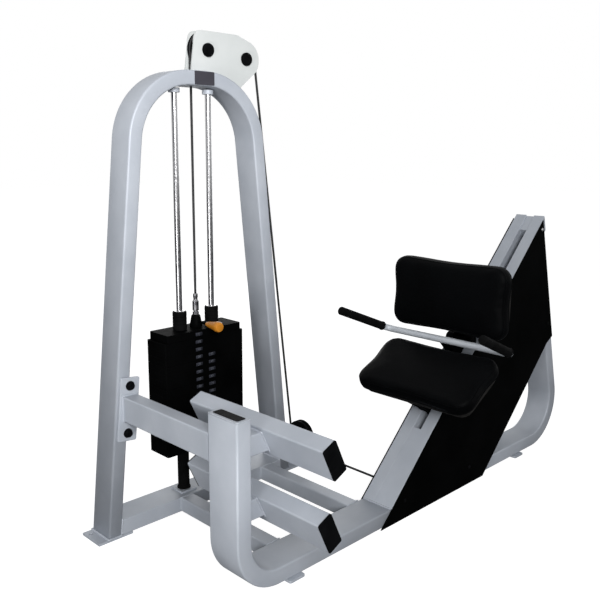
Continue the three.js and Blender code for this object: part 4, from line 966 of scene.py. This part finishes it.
makeRods()
makeStem()
makePulleys()
makeCaps()
makeCables()
print("rods, stack fittings, pulleys and cables are made")


# small plates: bare badge and the numbers on the stack, in millimetres

badge = {"low": (91.5, 1390.5), "high": (167.5, 1431), "y": 482, "thickness": 1.6, "corner": 2,
         "edge": 0.0004, "color": (0.052, 0.050, 0.060), "spread": 1.15, "rough": 0.35, "grain": 300.0,
         "strength": 0.05}
marks = {
    "rows": 16, "foot": 210, "pitch": 25.4, "middle": 12.5, "columns": (87, 139), "startRows": (0, 3),
    "first": 5, "step": 5, "y": 481, "width": 27, "height": 11, "thickness": 0.5, "corner": 1.5,
    "letter": 11.475, "inkDepth": 0.15, "inkOut": 0.62,
}
markColors = {
    "label": {"color": (0.026, 0.028, 0.036), "spread": 1.3, "rough": 0.4},
    "ink": {"color": (0.10, 0.105, 0.125), "spread": 1.1, "rough": 0.5},
}


def shadeOf(name, look, **more):
    high = tuple(c * look["spread"] for c in look["color"])
    return mouldedPlastic(name, look["color"], high, look["rough"], **more)


def flatPlate(low, high, y, thickness, corner):
    # rounded plate that stands out from a front face towards -Y
    bm = bmesh.new()
    roundedFace(bm, (high[0] - low[0]) * mm, (high[1] - low[1]) * mm, corner * mm)
    raised(bm, thickness * mm)
    middle = Vector(((low[0] + high[0]) / 2, y, (low[1] + high[1]) / 2)) * mm
    moved(bm, Matrix.Translation(middle) @ Matrix.Rotation(math.pi / 2, 4, "X"))
    bmesh.ops.recalc_face_normals(bm, faces=bm.faces[:])
    return bm


def numberMesh(text, x, z, y):
    data = bpy.data.curves.new("number", "FONT")
    data.body = text
    data.size = marks["letter"] * mm
    data.align_x = "CENTER"
    data.align_y = "CENTER"
    data.extrude = marks["inkDepth"] * mm
    bm = meshOfCurve(data)
    moved(bm, Matrix.Translation(Vector((x, y, z)) * mm) @ Matrix.Rotation(math.pi / 2, 4, "X"))
    return bm


def makeMarks():
    finish = shadeOf("badgePlate", badge, grain=badge["grain"], strength=badge["strength"])
    plate = flatPlate(badge["low"], badge["high"], badge["y"], badge["thickness"], badge["corner"])
    finishPiece("badge_plate", plate, "root", "black_plastic", width=badge["edge"], finish=finish)

    labelFinish = shadeOf("stackLabel", markColors["label"])
    inkFinish = shadeOf("stackInk", markColors["ink"])
    wide, high = marks["width"] / 2, marks["height"] / 2
    labels, numbers = [], []
    for row in range(marks["rows"]):
        z = marks["foot"] + marks["pitch"] * (marks["rows"] - 1 - row) + marks["middle"]
        for column, (x, startRow) in enumerate(zip(marks["columns"], marks["startRows"])):
            if row < startRow:
                continue
            low, top = (x - wide, z - high), (x + wide, z + high)
            labels.append(flatPlate(low, top, marks["y"], marks["thickness"], marks["corner"]))
            value = marks["first"] + marks["step"] * row * (column + 1)
            numbers.append(numberMesh(str(value), x, z, marks["y"] - marks["inkOut"]))
    # the topmost label sits on the head plate and rises with it
    finishPiece("head_label", labels.pop(0), "lifted_stack", "black_plastic", finish=labelFinish)
    finishPiece("head_number", numbers.pop(0), "lifted_stack", "black_plastic", finish=inkFinish)
    finishPiece("stack_labels", gathered(labels), "root", "black_plastic", finish=labelFinish)
    finishPiece("stack_numbers", gathered(numbers), "root", "black_plastic", finish=inkFinish)


makeMarks()
print("badge and stack numbers are made")


# pads

padForm = {"voxel": 5 * mm, "shrink": 2.5 * mm, "pressure": 4.0, "quality": 5, "frames": 14, "cap": 3.5 * mm,
           "smoothings": 3, "fill": 0.85}
welt = {"radius": 1.5 * mm, "proud": 0.3 * mm, "out": 12, "depths": (19, 50), "steps": 12, "step": 8 * mm,
        "smoothings": 2, "rings": 2}
pads = {
    "seat": {"start": (419.22, 167.56), "tilt": -15, "length": 255, "width": 470, "corner": 55},
    "back": {"start": (680.33, 128.62), "tilt": 45, "length": 260, "width": 466, "corner": 50},
}


def reshape(obj, change):
    bm = bmesh.new()
    bm.from_mesh(obj.data)
    change(bm)
    bm.to_mesh(obj.data)
    bm.free()


def shrunk(bm):
    bm.normal_update()
    for vert, way in [(v, v.normal.copy()) for v in bm.verts]:
        vert.co -= way * padForm["shrink"]


def evened(bm):
    for _ in range(padForm["smoothings"]):
        bmesh.ops.smooth_vert(bm, verts=bm.verts[:], factor=0.5, use_axis_x=True, use_axis_y=True,
                              use_axis_z=True)


def applied(obj):
    mesh = evaluated(obj)
    old = obj.data
    obj.modifiers.clear()
    obj.data = mesh
    bpy.data.meshes.remove(old)


def simulatedPad(name, node):
    obj = placed(name, nodes[node].data.copy())
    reshape(obj, lambda bm: merged(bm, edges["weld"]))
    reshape(obj, shrunk)
    mesher = obj.modifiers.new("remesh", "REMESH")
    mesher.mode = "VOXEL"
    mesher.voxel_size = padForm["voxel"]
    applied(obj)
    rest = [v.co.copy() for v in obj.data.vertices]
    cloth = obj.modifiers.new("cloth", "CLOTH")
    cloth.settings.use_pressure = True
    cloth.settings.uniform_pressure_force = padForm["pressure"]
    cloth.settings.effector_weights.gravity = 0
    cloth.settings.quality = padForm["quality"]
    for step in range(1, padForm["frames"] + 1):
        scene.frame_set(step)
    applied(obj)
    scene.frame_set(1)
    for vert, before in zip(obj.data.vertices, rest):
        move = vert.co - before
        if move.length > padForm["cap"]:
            vert.co = before + move.normalized() * padForm["cap"]
    reshape(obj, evened)
    finer = obj.modifiers.new("finer", "SUBSURF")
    finer.levels = 1
    finer.render_levels = 1
    smoothed(obj.data)
    obj.data.materials.clear()
    obj.data.materials.append(finishes["black_vinyl"])
    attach(obj, bodyOf[node])
    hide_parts(node)
    return obj


def padPlace(which, along, across, depth):
    # a pad's own directions: along it, across it and down into it, in millimetres
    size = pads[which]
    rise = rail["angle"] + math.radians(size["tilt"])
    ahead = Vector((math.cos(rise), 0, math.sin(rise)))
    face = Vector((-math.sin(rise), 0, math.cos(rise)))
    return onRail(size["start"][0], across, size["start"][1]) + (ahead * along - face * depth) * mm


def padOutline(which, out, depth):
    # rounded outline of the pad, set out from its edge
    size = pads[which]
    half, corner, steps = size["length"] / 2, size["corner"] + out, welt["steps"]
    x, y = half + out - corner, size["width"] / 2 + out - corner
    route = []
    for quarter, (cx, cy) in enumerate(((x, y), (-x, y), (-x, -y), (x, -y))):
        for k in range(steps + 1):
            angle = (quarter + k / steps) * math.pi / 2
            along, across = half + cx + corner * math.cos(angle), cy + corner * math.sin(angle)
            route.append(padPlace(which, along, across, depth))
    return evenRoute(route, welt["step"], True)


def makeWelts(which, cushion):
    # the outline is thrown inward onto the cushion at two depths
    tree = BVHTree.FromObject(cushion, bpy.context.evaluated_depsgraph_get())
    routes = []
    for depth in welt["depths"]:
        middle = padPlace(which, pads[which]["length"] / 2, 0, depth)
        route = []
        for place in padOutline(which, welt["out"], depth):
            hit, normal, _, _ = tree.ray_cast(place, (middle - place).normalized())
            if hit is None:
                hit, normal, _, _ = tree.find_nearest(place)
            route.append(hit + normal * welt["proud"])
        for _ in range(welt["smoothings"]):
            before, after = route[-1:] + route[:-1], route[1:] + route[:1]
            route = [(a + 2 * b + c) / 4 for a, b, c in zip(before, route, after)]
        routes.append(route)
    tubes = tubeMesh(routes, welt["radius"], True, welt["rings"])
    finishPiece(f"{which}_welts", tubes, "carriage", "black_vinyl")


for which in pads:
    makeWelts(which, simulatedPad(f"{which}_cushion", f"{which}_pad"))
print("pads are made")


# handle, in millimetres

handle = {"along": 681, "out": 94, "half": 255, "radius": 12, "bend": 30, "steps": 14, "rings": 8,
          "back": 232, "side": 30, "rise": 95}
grip = {
    "cover": 222, "past": 1.6, "ribs": 22, "firstRib": 8, "pitch": 9, "steps": 40, "edge": 0.0003,
    "foot": ((12.3, 0), (16.5, 0), (16.5, 4)),  # from the sleeve's foot
    "rib": ((14.4, 0), (15, 2.7), (15, 6.3), (14.4, 8.64)),
    "end": ((15, -12), (15, -4), (13.8, -1.2), (11, 0), (0, 0), (0, -1.3), (12.3, -1.3), (12.3, -222)),
}


def bezier(start, corner, stop, steps):
    shares = [k / steps for k in range(steps + 1)]
    return [start * (1 - u) ** 2 + corner * 2 * u * (1 - u) + stop * u ** 2 for u in shares]


def gripProfile(end):
    # ribbed sleeve with a collar at its foot, closed over the tube's end
    start = end - grip["cover"]
    profile = [(radius, start + rise) for radius, rise in grip["foot"]]
    for k in range(grip["ribs"]):
        level = start + grip["firstRib"] + k * grip["pitch"]
        profile += [(radius, level + rise) for radius, rise in grip["rib"]]
    profile += [(radius, end + rise) for radius, rise in grip["end"]]
    return profile[:-1] + [profile[0]]


def makeHandle():
    away = Vector((-handle["back"], handle["side"], handle["rise"])) * mm
    reach, way, bend = away.length, away.normalized(), handle["bend"] * mm
    corner = onRail(handle["along"], 0, handle["out"]) + alongY * handle["half"] * mm
    side = bezier(corner - alongY * bend, corner, corner + way * bend, handle["steps"])
    side.append(corner + way * reach)
    flip = [Vector((p.x, -p.y, p.z)) for p in reversed(side)]
    tube = tubeMesh([flip + side], handle["radius"] * mm, rings=handle["rings"])
    paintOfHandle = powderPaint("handlePaint", (0.52, 0.55, 0.59), (0.57, 0.60, 0.64), metal=0.1, rough=0.4,
                                coat=0.0, specular=0.3)
    finishPiece("handle_tube", tube, "carriage", "bracket_paint", ["handle_bar"], finish=paintOfHandle)
    for number, sign in ((1, 1), (2, -1)):
        lay = Vector((way.x, sign * way.y, way.z))
        start = Vector((corner.x, sign * corner.y, corner.z))
        turn = lay.to_track_quat("Z", "Y").to_matrix().to_4x4()
        turnedPiece(f"grip_{number}", gripProfile(reach / mm + grip["past"]), start, turn, "carriage",
                    "black_rubber", [f"hand_grip_{number}"], grip["steps"], grip["edge"])


makeHandle()
print("handle is made")


# carriage rollers, in millimetres

roller = {
    "tyre": ((11, 22.5), (18, 22.5), (20, 24.5), (20, 50.5), (18, 52.5), (11, 52.5), (11, 22.5)),
    "hub": [(0, 52.1), (8, 52.1), (8, 51.1), (10.9, 51.1), (10.9, 23.5), (8, 23.5), (8, 0)],
    "steps": 40, "axleSteps": 32, "edge": 0.0005,
}


def makeRollers():
    for joint in frame["joints"]:
        body = joint["child"]
        if not body.startswith("rollers_"):
            continue
        place = Vector(joint["pos_m"])
        tyres = gathered(bothSides(roller["tyre"], place, roller["steps"]))
        finishPiece(body.replace("rollers", "tyres"), tyres, body, "black_rubber",
                    [body.replace("rollers", "roller")], width=roller["edge"])
        turnedPiece(body.replace("rollers", "axle"), mirrored(roller["hub"]), place, "y", body,
                    "black_plastic", (), roller["axleSteps"])


makeRollers()
print("rollers are made")


# screws and nuts, in millimetres

screws = {
    "points": ((0, -0.5), (6.5, -0.5), (6.5, 0.78), (5.2, 2.08), (3.25, 2.6), (2.2, 2.6), (2, 1.04),
               (0, 1.04)),
    "steps": 24, "y": 64.3,
    "dark": ((-1, 500, 70), (-1, 880, 70), (-1, 1405, 520), (1, 880, 70), (1, 1405, 520)),  # side, x and z
    "bright": ((-1, 1308, 902), (1, 1308, 902)),
    "nuts": ((12.5, -27, -20), (12.5, 20, 27)),  # radius, low and high
}


def screwHeads(places):
    heads = []
    for side, x, z in places:
        points = screws["points"] if side > 0 else flipped(screws["points"])
        heads.append(turnedMesh(points, Vector((x, side * screws["y"], z)) * mm, "y", screws["steps"]))
    return gathered(heads)


def makeScrews():
    finishPiece("cover_screws", screwHeads(screws["dark"]), "root", "black_plastic")
    finishPiece("cover_top_screws", screwHeads(screws["bright"]), "root", "bright_chrome")
    pair = gathered([hexMesh(*nut, baseAxle, "x") for nut in screws["nuts"]])
    finishPiece("floor_wheel_nuts", pair, "root", "bright_chrome")


makeScrews()
print("screws and nuts are made")


# carried nodes: every one that is left gets its finish and soft edges

shownAs = {"carriage_frame": "black_paint"}  # nothing pale shows between the pads


def dressNodes():
    for name, obj in nodes.items():
        finish = finishes[shownAs.get(name, slotOf[name])]
        for slot in obj.material_slots:
            slot.material = finish
        if not obj.material_slots:
            obj.data.materials.append(finish)
        softEdges(obj, weld=True)


dressNodes()
print("carried nodes are dressed")
